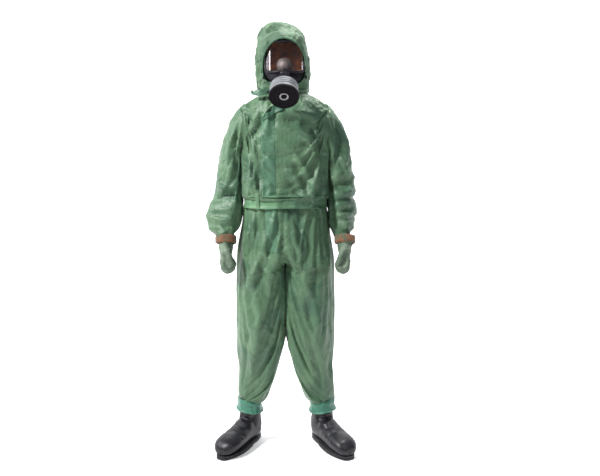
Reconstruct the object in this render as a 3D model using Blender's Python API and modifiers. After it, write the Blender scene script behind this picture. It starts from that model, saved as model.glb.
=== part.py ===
"""Chemical protective suit with hood, full-face respirator, gloves and boots.

Metres, +Z up. The suit stands on its boots on z = 0 and faces -Y. "left" is the wearer's left, at +X.
"""

import math

import bmesh
import bpy
import numpy as np
from mathutils import Matrix

# Driving dimensions
STANDING_Y = 0.0715
GAP = 0.0004
FABRIC = 0.003
SIDES = 16
ARM_SIDES = 12
TROUSER_SIDES = 20
SPLAY = math.radians(26)

WAIST_Z = 1.0720
NECK_Z = 1.5000
HOOD_Z = 1.5300
CROTCH_Z = 0.790
LEG_END_Z = 0.1980
HEM_END_Z = 0.1430
ANKLE_X = 0.160
ANKLE_Y = 0.030
SOLE_TOP = 0.0180

BELT_BOTTOM = 1.046
BELT_TOP = 1.098
BELT_THICK = 0.003

VISOR_RADIUS = 0.0813
VISOR_Y = -0.0637
VISOR_ANGLE = math.radians(73)
VISOR_BOTTOM = 1.589
VISOR_TOP = 1.700
FACE_Z = 1.634
FACE_COLUMNS = 15

INLET_POINT = (0.0, -0.160, 1.562)
INLET_TILT = math.radians(135)
THREAD_RADIUS = 0.0195
CANISTER_RADIUS = 0.055
CANISTER_BACK = 0.0509
CANISTER_FRONT = 0.1080
CAP_FRONT = 0.1131

# Horizontal sections: (z, centre x, centre y, half width, half depth)
TORSO = (
    (WAIST_Z, 0.0, 0.000, 0.163, 0.113),
    (1.110, 0.0, 0.000, 0.166, 0.117),
    (1.180, 0.0, 0.000, 0.173, 0.124),
    (1.260, 0.0, 0.000, 0.177, 0.131),
    (1.340, 0.0, 0.000, 0.176, 0.134),
    (1.400, 0.0, 0.000, 0.172, 0.129),
    (1.440, 0.0, 0.000, 0.162, 0.119),
    (1.470, 0.0, 0.000, 0.142, 0.107),
    (1.488, 0.0, 0.000, 0.115, 0.097),
    (NECK_Z, 0.0, 0.000, 0.096, 0.090),
)
PELVIS = (
    (CROTCH_Z - 0.020, 0.0, 0.003, 0.203, 0.112),
    (0.830, 0.0, 0.003, 0.206, 0.124),
    (0.900, 0.0, 0.002, 0.196, 0.130),
    (0.970, 0.0, 0.001, 0.181, 0.127),
    (1.030, 0.0, 0.000, 0.168, 0.119),
    (WAIST_Z - GAP, 0.0, 0.000, 0.163, 0.113),
)
LEG = (
    (LEG_END_Z, 0.160, 0.030, 0.0520, 0.0620),
    (0.230, 0.157, 0.028, 0.0620, 0.0740),
    (0.305, 0.146, 0.024, 0.0740, 0.0860),
    (0.400, 0.127, 0.016, 0.0870, 0.0980),
    (0.480, 0.114, 0.008, 0.1010, 0.1060),
    (0.560, 0.107, 0.002, 0.1030, 0.1120),
    (0.660, 0.109, 0.000, 0.1060, 0.1180),
    (0.740, 0.109, 0.001, 0.1070, 0.1220),
    (0.850, 0.104, 0.003, 0.0980, 0.1200),
)
COLLAR = (
    (NECK_Z + GAP, 0.0, 0.000, 0.091, 0.088),
    (1.515, 0.0, 0.001, 0.086, 0.086),
    (HOOD_Z - GAP, 0.0, 0.002, 0.090, 0.090),
)
HOOD = (
    (HOOD_Z, 0.0, 0.003, 0.091, 0.092),
    (1.555, 0.0, 0.008, 0.104, 0.103),
    (1.590, 0.0, 0.012, 0.113, 0.111),
    (1.635, 0.0, 0.0125, 0.117, 0.1125),
    (1.680, 0.0, 0.0125, 0.113, 0.1125),
    (1.720, 0.0, 0.015, 0.104, 0.106),
    (1.755, 0.0, 0.018, 0.092, 0.094),
    (1.780, 0.0, 0.020, 0.072, 0.074),
    (1.794, 0.0, 0.022, 0.042, 0.044),
)
UPPER_SLEEVE = (
    (1.130, 0.2430, 0.006, 0.0570, 0.0600),
    (1.185, 0.2370, 0.004, 0.0540, 0.0600),
    (1.240, 0.2345, 0.002, 0.0515, 0.0610),
    (1.290, 0.2290, 0.000, 0.0475, 0.0640),
)
ELBOW_SLEEVE = (
    (1.0035, 0.2530, -0.013, 0.0640, 0.0570),
    (1.040, 0.2530, -0.002, 0.0670, 0.0640),
    (1.085, 0.2470, 0.006, 0.0630, 0.0640),
    (1.1265, 0.2430, 0.006, 0.0570, 0.0600),
)
LOWER_SLEEVE = (
    (0.938, 0.2480, -0.041, 0.0410, 0.0410),
    (0.960, 0.2500, -0.033, 0.0460, 0.0450),
    (0.985, 0.2530, -0.022, 0.0580, 0.0530),
    (1.000, 0.2530, -0.014, 0.0630, 0.0560),
)
FACEPIECE = (
    (1.541, 0.0, VISOR_Y, 0.034, 0.058),
    (1.549, 0.0, VISOR_Y, 0.052, 0.086),
    (1.564, 0.0, VISOR_Y, 0.071, 0.096),
    (1.575, 0.0, VISOR_Y, 0.0785, 0.0795),
    (1.635, 0.0, VISOR_Y, 0.0790, 0.0790),
    (1.698, 0.0, VISOR_Y, 0.0785, 0.0785),
    (1.710, 0.0, VISOR_Y, 0.0680, 0.0660),
    (1.721, 0.0, VISOR_Y, 0.0520, 0.0450),
)

# Boot shaft: (z, half width, half length). Instep: (degrees turned, length of the section).
# Foot: (ahead of the ankle, top z, half width).
BOOT_SHAFT = ((0.300, 0.048, 0.052), (0.215, 0.0405, 0.0455), (0.150, 0.0400, 0.0460), (0.124, 0.042, 0.0510))
BOOT_INSTEP = ((18, 0.116), (34, 0.130), (44, 0.136), (56, 0.1190), (72, 0.1040), (90, 0.0990))
BOOT_FOOT = (
    (0.090, 0.104, 0.046), (0.130, 0.092, 0.051), (0.170, 0.086, 0.052),
    (0.200, 0.078, 0.046), (0.220, 0.064, 0.034), (0.230, 0.046, 0.016),
)

FOREARM_AXIS = np.array((-0.0075, -0.300, -0.950)) / np.linalg.norm((-0.0075, -0.300, -0.950))
WRIST = np.array((0.2480, -0.0415, 0.9370))


def clear_scene():
    for obj in list(bpy.data.objects):
        bpy.data.objects.remove(obj, do_unlink=True)


def new_collection(name, hidden=False):
    collection = bpy.data.collections.new(name)
    bpy.context.scene.collection.children.link(collection)
    collection.hide_render = hidden
    return collection


clear_scene()
SUIT = new_collection("chemical_protective_suit")
CUTTERS = new_collection("cutters", hidden=True)
ORIGIN = bpy.data.objects.new("suit_origin", None)
ORIGIN.location = (0.0, STANDING_Y, 0.0)
SUIT.objects.link(ORIGIN)


def finish(name, base, roughness, metallic=0.0):
    """One plain material with the piece's own colour."""
    material = bpy.data.materials.new(name)
    material.use_nodes = True
    shader = material.node_tree.nodes["Principled BSDF"]
    shader.inputs["Base Color"].default_value = (*base, 1.0)
    shader.inputs["Roughness"].default_value = roughness
    shader.inputs["Metallic"].default_value = metallic
    return material


FINISHES = {
    "coated_fabric": ((0.10, 0.27, 0.13), 0.6, 0.0),
    "dark_fabric": ((0.03, 0.10, 0.05), 0.7, 0.0),
    "hem_fabric": ((0.07, 0.40, 0.22), 0.6, 0.0),
    "band_elastic": ((0.32, 0.10, 0.03), 0.7, 0.0),
    "glove_rubber": ((0.31, 0.46, 0.34), 0.5, 0.0),
    "boot_rubber": ((0.02, 0.018, 0.025), 0.35, 0.0),
    "mask_rubber": ((0.015, 0.015, 0.018), 0.5, 0.0),
    "visor_plastic": ((0.5, 0.5, 0.55), 0.1, 0.0),
    "canister_metal": ((0.25, 0.26, 0.28), 0.4, 0.9),
    "cap_plastic": ((0.05, 0.03, 0.06), 0.45, 0.0),
    "silicone": ((0.3, 0.3, 0.3), 0.5, 0.0),
    "charcoal": ((0.01, 0.01, 0.01), 0.9, 0.0),
    "filter_paper": ((0.7, 0.7, 0.65), 0.9, 0.0),
}


def add_object(name, mesh, finish_name, smooth=True):
    """Puts a mesh in the suit, under the suit's origin, with a material of its own."""
    obj = bpy.data.objects.new(name, mesh)
    SUIT.objects.link(obj)
    obj.parent = ORIGIN
    base, roughness, metallic = FINISHES[finish_name]
    mesh.materials.append(finish(name, base, roughness, metallic))
    if smooth:
        mesh.shade_smooth()
    return obj


def add_cutter(name, mesh):
    obj = bpy.data.objects.new(name, mesh)
    CUTTERS.objects.link(obj)
    obj.parent = ORIGIN
    obj.hide_render = True
    obj.display_type = "WIRE"
    return obj


def section(z, x, y, half_width, half_depth, sides=SIDES, power=2.3):
    """A level superellipse, counter-clockwise from +X."""
    angle = np.linspace(0.0, 2 * math.pi, sides, endpoint=False)
    cosine = np.cos(angle)
    sine = np.sin(angle)
    points = np.empty((sides, 3))
    points[:, 0] = x + half_width * np.sign(cosine) * np.abs(cosine) ** (2 / power)
    points[:, 1] = y + half_depth * np.sign(sine) * np.abs(sine) ** (2 / power)
    points[:, 2] = z
    return points


def sections(table, side=1.0, shrink=0.0, sides=SIDES, power=2.3):
    """The level sections of a table, mirrored to one side and shrunk by a wall's thickness."""
    return [
        section(z, side * x, y, half_width - shrink, half_depth - shrink, sides, power)
        for z, x, y, half_width, half_depth in table
    ]


def loft_mesh(name, rings, cap_start=False, cap_end=False, loop=True):
    """Quads between rings of equal counts, with flat caps where asked, and faces turned outwards."""
    rows = len(rings)
    count = len(rings[0])
    points = np.concatenate(rings)
    steps = count if loop else count - 1
    faces = []
    for row in range(rows - 1):
        for step in range(steps):
            along = (step + 1) % count
            low = row * count
            high = low + count
            faces.append((low + step, low + along, high + along, high + step))
    if cap_start:
        faces.append(tuple(reversed(range(count))))
    if cap_end:
        faces.append(tuple(range((rows - 1) * count, rows * count)))
    mesh = bpy.data.meshes.new(name)
    mesh.from_pydata(points.tolist(), [], faces)
    turn_outwards(mesh)
    return mesh


def turn_outwards(mesh):
    """Flips all the faces if, on balance, they look towards the middle."""
    shape = bmesh.new()
    shape.from_mesh(mesh)
    middle = sum((vertex.co for vertex in shape.verts), start=shape.verts[:][0].co * 0) / len(shape.verts)
    outward = sum(face.normal.dot(face.calc_center_median() - middle) * face.calc_area() for face in shape.faces)
    if outward < 0:
        bmesh.ops.reverse_faces(shape, faces=shape.faces)
    shape.to_mesh(mesh)
    shape.free()


def solidify(obj, thickness=FABRIC, offset=-1.0):
    wall = obj.modifiers.new("wall", "SOLIDIFY")
    wall.thickness = thickness
    wall.offset = offset
    wall.use_even_offset = True


def boolean(obj, other, operation):
    step = obj.modifiers.new(other.name, "BOOLEAN")
    step.operation = operation
    step.object = other
    step.solver = "EXACT"


def bevel(obj, width, segments=2):
    edge = obj.modifiers.new("edge", "BEVEL")
    edge.width = width
    edge.segments = segments
    edge.limit_method = "ANGLE"


def box_mesh(name, low, high):
    """A block between two corners."""
    shape = bmesh.new()
    bmesh.ops.create_cube(shape, size=1.0)
    for vertex in shape.verts:
        for axis in range(3):
            middle = (low[axis] + high[axis]) / 2
            vertex.co[axis] = middle + vertex.co[axis] * (high[axis] - low[axis])
    mesh = bpy.data.meshes.new(name)
    shape.to_mesh(mesh)
    shape.free()
    return mesh


def turned(name, profile, finish_name, place, tilt, closed=True, steps=16):
    """A profile of (radius, height) points turned about its own Z, then tilted about X and put in place."""
    count = len(profile)
    points = [(radius, 0.0, height) for radius, height in profile]
    edges = [(i, (i + 1) % count) for i in range(count if closed else count - 1)]
    mesh = bpy.data.meshes.new(name)
    mesh.from_pydata(points, edges, [])
    obj = add_object(name, mesh, finish_name, smooth=False)
    screw = obj.modifiers.new("turn", "SCREW")
    screw.steps = steps
    screw.render_steps = steps
    screw.use_merge_vertices = True
    screw.merge_threshold = 0.00005
    screw.use_smooth_shade = True
    obj.location = place
    obj.rotation_euler = (tilt, 0.0, 0.0)
    return obj


def washer(name, inner, outer, low, high, finish_name, place=INLET_POINT, tilt=INLET_TILT):
    """A turned ring between two radii and two heights."""
    profile = ((inner, high), (outer, high), (outer, low), (inner, low))
    return turned(name, profile, finish_name, place, tilt)


def disc(name, radius, low, high, finish_name, place=INLET_POINT, tilt=INLET_TILT):
    """A turned solid disc."""
    profile = ((0.0, high), (radius, high), (radius, low), (0.0, low))
    return turned(name, profile, finish_name, place, tilt, closed=False)


def surface_y(table, x, z, front=True, power=2.3):
    """The y of a lofted body's front or back at a width and a height."""
    heights = [row[0] for row in table]
    centre = np.interp(z, heights, [row[2] for row in table])
    half_width = np.interp(z, heights, [row[3] for row in table])
    half_depth = np.interp(z, heights, [row[4] for row in table])
    reach = (1.0 - np.clip(np.abs(x) / half_width, 0.0, 0.999) ** power) ** (1 / power)
    return centre + (-half_depth if front else half_depth) * reach


def tube_curve(name, points, radius, finish_name, cyclic=False):
    """A round cord through the given points."""
    curve = bpy.data.curves.new(name, "CURVE")
    curve.dimensions = "3D"
    curve.bevel_depth = radius
    curve.bevel_resolution = 2
    curve.use_fill_caps = True
    spline = curve.splines.new("POLY")
    spline.points.add(len(points) - 1)
    for point, place in zip(spline.points, points):
        point.co = (*place, 1.0)
    spline.use_cyclic_u = cyclic
    obj = bpy.data.objects.new(name, curve)
    SUIT.objects.link(obj)
    obj.parent = ORIGIN
    base, roughness, metallic = FINISHES[finish_name]
    curve.materials.append(finish(name, base, roughness, metallic))
    return obj


# Torso and trousers


def make_torso():
    torso = add_object("torso", loft_mesh("torso", sections(TORSO)), "coated_fabric")
    solidify(torso)
    for side, word in ((1.0, "left"), (-1.0, "right")):
        hole = bpy.data.meshes.new("armhole_" + word)
        shape = bmesh.new()
        bmesh.ops.create_cone(
            shape, cap_ends=True, segments=ARM_SIDES, radius1=0.062, radius2=0.062, depth=0.10
        )
        shape.to_mesh(hole)
        shape.free()
        cutter = add_cutter("armhole_" + word, hole)
        cutter.rotation_euler = (0.0, math.pi / 2, 0.0)
        cutter.location = (side * 0.190, 0.0, 1.368)
        boolean(torso, cutter, "DIFFERENCE")


def trouser_hollow():
    """The inside of the seat and both legs: the same shapes, one wall smaller and longer at the ends."""
    reach = 0.010
    inside = list(PELVIS)
    inside[0] = (PELVIS[0][0] + 0.016, *PELVIS[0][1:])
    inside.append((WAIST_Z + reach, *PELVIS[-1][1:]))
    seat = loft_mesh("seat_hollow", sections(inside, shrink=FABRIC, sides=TROUSER_SIDES), True, True)
    hollows = [add_cutter("seat_hollow", seat)]
    for side, word in ((1.0, "left"), (-1.0, "right")):
        inside = [(LEG_END_Z - reach, *LEG[0][1:]), *LEG[1:]]
        leg = loft_mesh("leg_hollow_" + word, sections(inside, side, FABRIC, TROUSER_SIDES), True, True)
        hollows.append(add_cutter("leg_hollow_" + word, leg))
    return hollows


def make_trousers():
    """Seat and one leg joined, then hollowed, for each side; the two sides meet at the centre seam."""
    hollows = trouser_hollow()
    for side, word in ((1.0, "left"), (-1.0, "right")):
        panel = loft_mesh("trouser_" + word, sections(PELVIS, sides=TROUSER_SIDES), True, True)
        trouser = add_object("trouser_" + word, panel, "coated_fabric")
        leg = loft_mesh("leg_" + word, sections(LEG, side, sides=TROUSER_SIDES), True, True)
        boolean(trouser, add_cutter("leg_" + word, leg), "UNION")
        for hollow in hollows:
            boolean(trouser, hollow, "DIFFERENCE")
        ends = sorted((side * GAP, -side * 0.300))
        other = box_mesh("other_side", (ends[0], -0.200, 0.100), (ends[1], 0.200, 1.200))
        boolean(trouser, add_cutter("other_side_" + word, other), "DIFFERENCE")


def make_ankle_hem(side, word):
    rows = (
        (HEM_END_Z, ANKLE_X, ANKLE_Y, 0.0500, 0.0590),
        (0.170, ANKLE_X, ANKLE_Y, 0.0505, 0.0600),
        (LEG_END_Z - GAP, ANKLE_X, ANKLE_Y, 0.0520, 0.0620),
    )
    hem = add_object("ankle_hem_" + word, loft_mesh("hem", sections(rows, side)), "hem_fabric")
    solidify(hem)


def make_belt():
    proud = BELT_THICK + 0.0022
    rows = ((BELT_BOTTOM, 0.1715, 0.1235), (WAIST_Z, 0.1700, 0.1220), (BELT_TOP, 0.1715, 0.1230))
    table = [(z, 0.0, 0.0, half_width, half_depth) for z, half_width, half_depth in rows]
    belt = add_object("belt", loft_mesh("belt", sections(table, shrink=-0.0012)), "coated_fabric")
    solidify(belt, BELT_THICK)
    for front, face in ((True, "front"), (False, "back")):
        for side, word in ((1.0, "left"), (-1.0, "right")):
            make_keeper(f"belt_keeper_{face}_{word}", side * 0.112, front, proud)


def make_keeper(name, x, front, proud):
    """A sewn loop that stands round the belt: a flat staple, open towards the suit."""
    turn = -1.0 if front else 1.0
    base = surface_y(TORSO, x, WAIST_Z, front)
    slope = 0.0085
    inner = base + turn * (proud + 0.0040 + slope)
    outer = inner + turn * 0.0022
    foot = base + turn * (0.0066 + slope / 2)
    low = BELT_BOTTOM - 0.0030
    high = BELT_TOP + 0.0030
    rim = 0.0022
    outline = (
        (foot, low - rim), (outer, low - rim), (outer, high + rim), (foot, high + rim),
        (foot, high), (inner, high), (inner, low), (foot, low),
    )
    half = 0.009
    rings = [np.array([(x + step, y, z) for y, z in outline]) for step in (-half, half)]
    keeper = loft_mesh(name, rings, True, True)
    shape = bmesh.new()
    shape.from_mesh(keeper)
    bmesh.ops.recalc_face_normals(shape, faces=shape.faces)
    shape.to_mesh(keeper)
    shape.free()
    add_object(name, keeper, "coated_fabric", smooth=False)


def make_flap(name, table, low_z, high_z, left_x, right_x):
    """A strip of fabric laid on the front of a body, edge to edge."""
    columns = 5
    rows = 9
    grid = []
    for z in np.linspace(low_z, high_z, rows):
        across = np.linspace(left_x, right_x, columns)
        grid.append(np.stack([across, surface_y(table, across, z) - 0.0016, np.full(columns, z)], axis=1))
    mesh = loft_mesh(name, grid, loop=False)
    face = mesh.polygons[0]
    strip = add_object(name, mesh, "coated_fabric")
    solidify(strip, 0.0025, 1.0 if face.normal.y < 0 else -1.0)


def make_throat_tab():
    """A strap end that crosses the throat and sticks out past the wearer's right side of the neck."""
    tab = add_object(
        "throat_tab", box_mesh("throat_tab", (-0.132, -0.1120, 1.5000), (-0.050, -0.1090, 1.5235)), "dark_fabric"
    )
    bevel(tab, 0.001)
    stud = disc("throat_stud", 0.0050, 0.0, 0.0022, "cap_plastic", (-0.066, -0.1124, 1.512), math.pi / 2)
    stud.data.shade_flat()


def make_collar():
    collar = add_object("neck_collar", loft_mesh("neck_collar", sections(COLLAR, power=2.0)), "dark_fabric")
    solidify(collar)


# Sleeves, wrist bands and gloves


def make_sleeve_head(side, word):
    """A bent tube: it leaves the armhole sideways and turns down into the upper sleeve."""
    rings = []
    corner = np.array((0.1795, 1.2935))
    for turn in np.radians((0, 18, 36, 54, 72, 90)):
        share = math.sin(turn)
        radius = 0.075 * math.cos(turn) ** 2 + 0.0475 * share**2 + 0.010 * math.sin(2 * turn)
        depth = 0.066 - 0.002 * share
        angle = np.linspace(0.0, 2 * math.pi, ARM_SIDES, endpoint=False)
        reach = radius + radius * np.cos(angle)
        points = np.empty((ARM_SIDES, 3))
        points[:, 0] = side * (corner[0] + 0.0016 + reach * math.sin(turn))
        points[:, 1] = depth * np.sin(angle)
        points[:, 2] = corner[1] + reach * math.cos(turn)
        rings.append(points)
    head = add_object("sleeve_head_" + word, loft_mesh("sleeve_head", rings), "coated_fabric")
    solidify(head)


def make_sleeve(side, word):
    for name, table in (("upper", UPPER_SLEEVE), ("elbow", ELBOW_SLEEVE), ("lower", LOWER_SLEEVE)):
        rings = sections(table, side, sides=ARM_SIDES, power=2.0)
        piece = add_object(f"sleeve_{name}_{word}", loft_mesh(name, rings), "coated_fabric")
        solidify(piece)


def arm_ring(side, reach, wide, deep, shift=0.0, sides=ARM_SIDES, power=2.2):
    """A section square to the forearm, a distance down from the wrist."""
    forward = np.array((0.0, FOREARM_AXIS[2], -FOREARM_AXIS[1]))
    forward = forward / np.linalg.norm(forward)
    centre = WRIST + FOREARM_AXIS * reach + forward * shift
    angle = np.linspace(0.0, 2 * math.pi, sides, endpoint=False)
    cosine = np.cos(angle)
    sine = np.sin(angle)
    across = wide * np.sign(cosine) * np.abs(cosine) ** (2 / power)
    along = deep * np.sign(sine) * np.abs(sine) ** (2 / power)
    points = centre + np.outer(across, (1.0, 0.0, 0.0)) + np.outer(along, forward)
    points[:, 0] *= side
    return points


def make_wrist_band(side, word):
    rings = [arm_ring(side, reach, 0.0400, 0.0400, power=2.0) for reach in (0.030, 0.018, 0.0145)]
    band = add_object("wrist_band_" + word, loft_mesh("wrist_band", rings), "band_elastic")
    solidify(band, 0.0025)


def make_glove(side, word):
    """A closed fist, palm to the thigh, with the thumb down the front and a cuff up inside the wrist band."""
    rows = (
        (0.006, 0.0320, 0.0330, 0.000),
        (0.034, 0.0330, 0.0340, 0.000),
        (0.050, 0.0325, 0.0370, 0.002),
        (0.070, 0.0325, 0.0430, 0.004),
        (0.095, 0.0330, 0.0470, 0.004),
        (0.120, 0.0330, 0.0460, 0.002),
        (0.138, 0.0290, 0.0390, -0.002),
        (0.147, 0.0180, 0.0250, -0.002),
    )
    rings = [arm_ring(side, *row) for row in rows]
    glove = add_object("glove_" + word, loft_mesh("glove", rings, cap_end=True), "glove_rubber")
    solidify(glove, 0.0022)


# Hood and respirator


def make_hood():
    rings = sections(HOOD)
    top = np.array(((0.0, 0.022, 1.7985),) * SIDES)
    rings.append(top + (rings[-1] - rings[-1].mean(axis=0)) * 0.15)
    hood = add_object("hood", loft_mesh("hood", rings, cap_end=True), "coated_fabric")
    solidify(hood)
    angle = np.linspace(0.0, 2 * math.pi, SIDES, endpoint=False)
    outline = face_outline(angle)
    rings = [np.stack([outline[:, 0], np.full(SIDES, y), outline[:, 1]], axis=1) for y in (-0.20, -0.020)]
    boolean(hood, add_cutter("face_opening", loft_mesh("face_opening", rings, True, True)), "DIFFERENCE")


def face_outline(angle, grow=0.0, power=3.5):
    """(x, z) of the hood's face opening."""
    cosine = np.cos(angle)
    sine = np.sin(angle)
    x = (0.0885 + grow) * np.sign(cosine) * np.abs(cosine) ** (2 / power)
    z = FACE_Z + (0.0970 + grow) * np.sign(sine) * np.abs(sine) ** (2 / power)
    return np.stack([x, z], axis=1)


def make_hood_rim():
    """The elastic edge, a soft cord laid on the hood just outside its face opening."""
    outline = face_outline(np.linspace(0.0, 2 * math.pi, 28, endpoint=False), grow=0.002)
    radius = 0.0035
    points = []
    for x, z in outline:
        y = surface_y(HOOD, x, z)
        out = np.array((x / 0.117**2, (y - 0.0125) / 0.1125**2, 0.0))
        if z > 1.70:
            out[2] = (z - 1.64) / 0.16**2
        out = out / np.linalg.norm(out)
        points.append(np.array((x, y, z)) + out * (radius + 0.0025))
    tube_curve("hood_rim", points, radius, "dark_fabric", cyclic=True)


def facepiece_rings(shrink=0.0):
    """Open arcs round the front of the face, one for each height."""
    angle = np.linspace(math.radians(-195), math.radians(15), FACE_COLUMNS)
    rings = []
    for z, x, y, half_width, half_depth in FACEPIECE:
        wide = half_width - shrink
        deep = half_depth - shrink
        rings.append(np.stack([x + wide * np.cos(angle), y + deep * np.sin(angle), np.full(FACE_COLUMNS, z)], axis=1))
    return rings


def visor_point(angle, z, radius=VISOR_RADIUS):
    return np.stack([radius * np.sin(angle), VISOR_Y - radius * np.cos(angle), z], axis=-1)


def make_facepiece():
    mask = add_object("facepiece", loft_mesh("facepiece", facepiece_rings(), loop=False), "mask_rubber")
    solidify(mask, 0.0025, -1.0)
    window = box_mesh("window", (-0.068, -0.20, 1.597), (0.068, VISOR_Y - 0.010, 1.690))
    boolean(mask, add_cutter("window", window), "DIFFERENCE")
    shape = bmesh.new()
    bmesh.ops.create_cone(shape, cap_ends=True, segments=32, radius1=0.0246, radius2=0.0246, depth=0.060)
    mesh = bpy.data.meshes.new("inlet_hole")
    shape.to_mesh(mesh)
    shape.free()
    cutter = add_cutter("inlet_hole", mesh)
    cutter.location = INLET_POINT
    cutter.rotation_euler = (INLET_TILT, 0.0, 0.0)
    boolean(mask, cutter, "DIFFERENCE")


def make_visor():
    angle = np.linspace(-VISOR_ANGLE, VISOR_ANGLE, 25)
    rings = [visor_point(angle, np.full(25, z)) for z in (VISOR_BOTTOM, (VISOR_BOTTOM + VISOR_TOP) / 2, VISOR_TOP)]
    visor = add_object("visor", loft_mesh("visor", rings, loop=False), "visor_plastic")
    solidify(visor, 0.0018, -1.0 if visor.data.polygons[12].normal.y < 0 else 1.0)


def make_visor_frame():
    """A rounded bead all round the visor's edge, on the same curve."""
    radius = 0.0036
    reach = radius + 0.0008
    corner = 0.005
    middle = (VISOR_BOTTOM + VISOR_TOP) / 2
    half_high = (VISOR_TOP - VISOR_BOTTOM) / 2 + reach
    half_wide = VISOR_ANGLE * VISOR_RADIUS + reach
    outline = []
    for across, up, start in ((1, 1, 0), (-1, 1, 90), (-1, -1, 180), (1, -1, 270)):
        for turn in np.radians(np.linspace(start, start + 90, 4)):
            along = across * (half_wide - corner) + corner * math.cos(turn)
            outline.append((along, up * (half_high - corner) + corner * math.sin(turn)))
    points = []
    for first, second in zip(outline, outline[1:] + outline[:1]):
        steps = max(1, int(abs(second[0] - first[0]) / 0.012))
        for step in range(steps):
            share = step / steps
            along = first[0] + (second[0] - first[0]) * share
            up = first[1] + (second[1] - first[1]) * share
            points.append(visor_point(np.array(along / VISOR_RADIUS), np.array(middle + up), VISOR_RADIUS + 0.0030))
    tube_curve("visor_frame", points, radius, "mask_rubber", cyclic=True)


def make_nose_cup():
    """A soft cup over nose and mouth, open towards the face."""
    rings = []
    for turn in np.radians((0, 20, 40, 60, 76)):
        radius = math.cos(turn)
        ring = section(0.0, 0.0, 0.0, 0.034 * radius, 0.036 * radius, 16, 2.0)
        y = -0.088 - 0.040 * math.sin(turn)
        rings.append(np.stack([ring[:, 0], np.full(16, y), 1.612 + ring[:, 1]], axis=1))
    cup = add_object("nose_cup", loft_mesh("nose_cup", rings, cap_end=True), "silicone")
    solidify(cup, 0.002)


def make_inlet():
    """The threaded socket, with the valve behind the ledge that the filter's gasket seals on."""
    profile = (
        (0.0207, 0.0503), (0.0240, 0.0503), (0.0240, -0.0120), (0.0170, -0.0120),
        (0.0170, 0.0300), (0.0207, 0.0300),
    )
    turned("inlet_socket", profile, "cap_plastic", INLET_POINT, INLET_TILT)
    seat = washer("inhalation_valve_seat", 0.0120, 0.0166, 0.0160, 0.0190, "cap_plastic")
    for turn in (0.0, math.pi / 2):
        bar = add_cutter(f"seat_bar_{turn:.0f}", box_mesh("bar", (-0.0140, -0.0012, 0.0165), (0.0140, 0.0012, 0.0185)))
        bar.location = INLET_POINT
        bar.rotation_euler = (INLET_TILT, 0.0, 0.0)
        if turn:
            bar.data.transform(rotation_matrix(turn))
        boolean(seat, bar, "UNION")
    disc("inhalation_valve_disc", 0.0150, 0.0148, 0.0156, "silicone")


def rotation_matrix(turn):

    return Matrix.Rotation(turn, 4, "Z")


def make_exhalation_valve():
    """A small outlet under the chin: seat, flap disc below it and a vented cover."""
    place = (0.0, -0.1115, 1.5340)
    tilt = math.radians(172)
    washer("exhalation_valve_seat", 0.0070, 0.0105, -0.0015, 0.0015, "cap_plastic", place, tilt)
    disc("exhalation_valve_disc", 0.0090, 0.0019, 0.0026, "silicone", place, tilt)
    profile = (
        (0.0040, 0.0070), (0.0105, 0.0070), (0.0105, 0.0019), (0.0095, 0.0019), (0.0095, 0.0058), (0.0040, 0.0058),
    )
    turned("exhalation_valve_cover", profile, "cap_plastic", place, tilt)


def make_harness():
    """Pad behind the head, and a strap on each side from the pad to a buckle on the mask."""
    shape = section(0.0, 0.0, 0.0, 0.035, 0.028, 16, 2.6)
    rings = []
    for depth in (0.0980, 0.1010):
        rings.append(np.stack([shape[:, 0], depth - shape[:, 0] ** 2 * 5, 1.645 + shape[:, 1]], axis=1))
    add_object("harness_pad", loft_mesh("harness_pad", rings, True, True), "mask_rubber")
    for side, word in ((1.0, "left"), (-1.0, "right")):
        rings = []
        for share in np.linspace(0.0, 1.0, 9):
            turn = math.radians(68 - 92 * share)
            across = np.array((math.cos(turn), math.sin(turn), 0.0))
            middle = np.array((0.0, 0.005, 1.640 - 0.030 * share)) + across * (0.094 - 0.004 * share)
            corners = ((-0.001, -0.007), (0.001, -0.007), (0.001, 0.007), (-0.001, 0.007))
            ring = np.array([middle + across * out + np.array((0.0, 0.0, up)) for out, up in corners])
            ring[:, 0] *= side
            rings.append(ring)
        strap = loft_mesh("strap", rings, True, True)
        add_object("harness_strap_" + word, strap, "mask_rubber")
        low = (side * 0.0860 - 0.003, -0.0990, 1.5620)
        high = (side * 0.0860 + 0.003, -0.0830, 1.5770)
        buckle = add_object("harness_buckle_" + word, box_mesh("buckle", low, high), "cap_plastic")
        bevel(buckle, 0.001)


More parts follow.
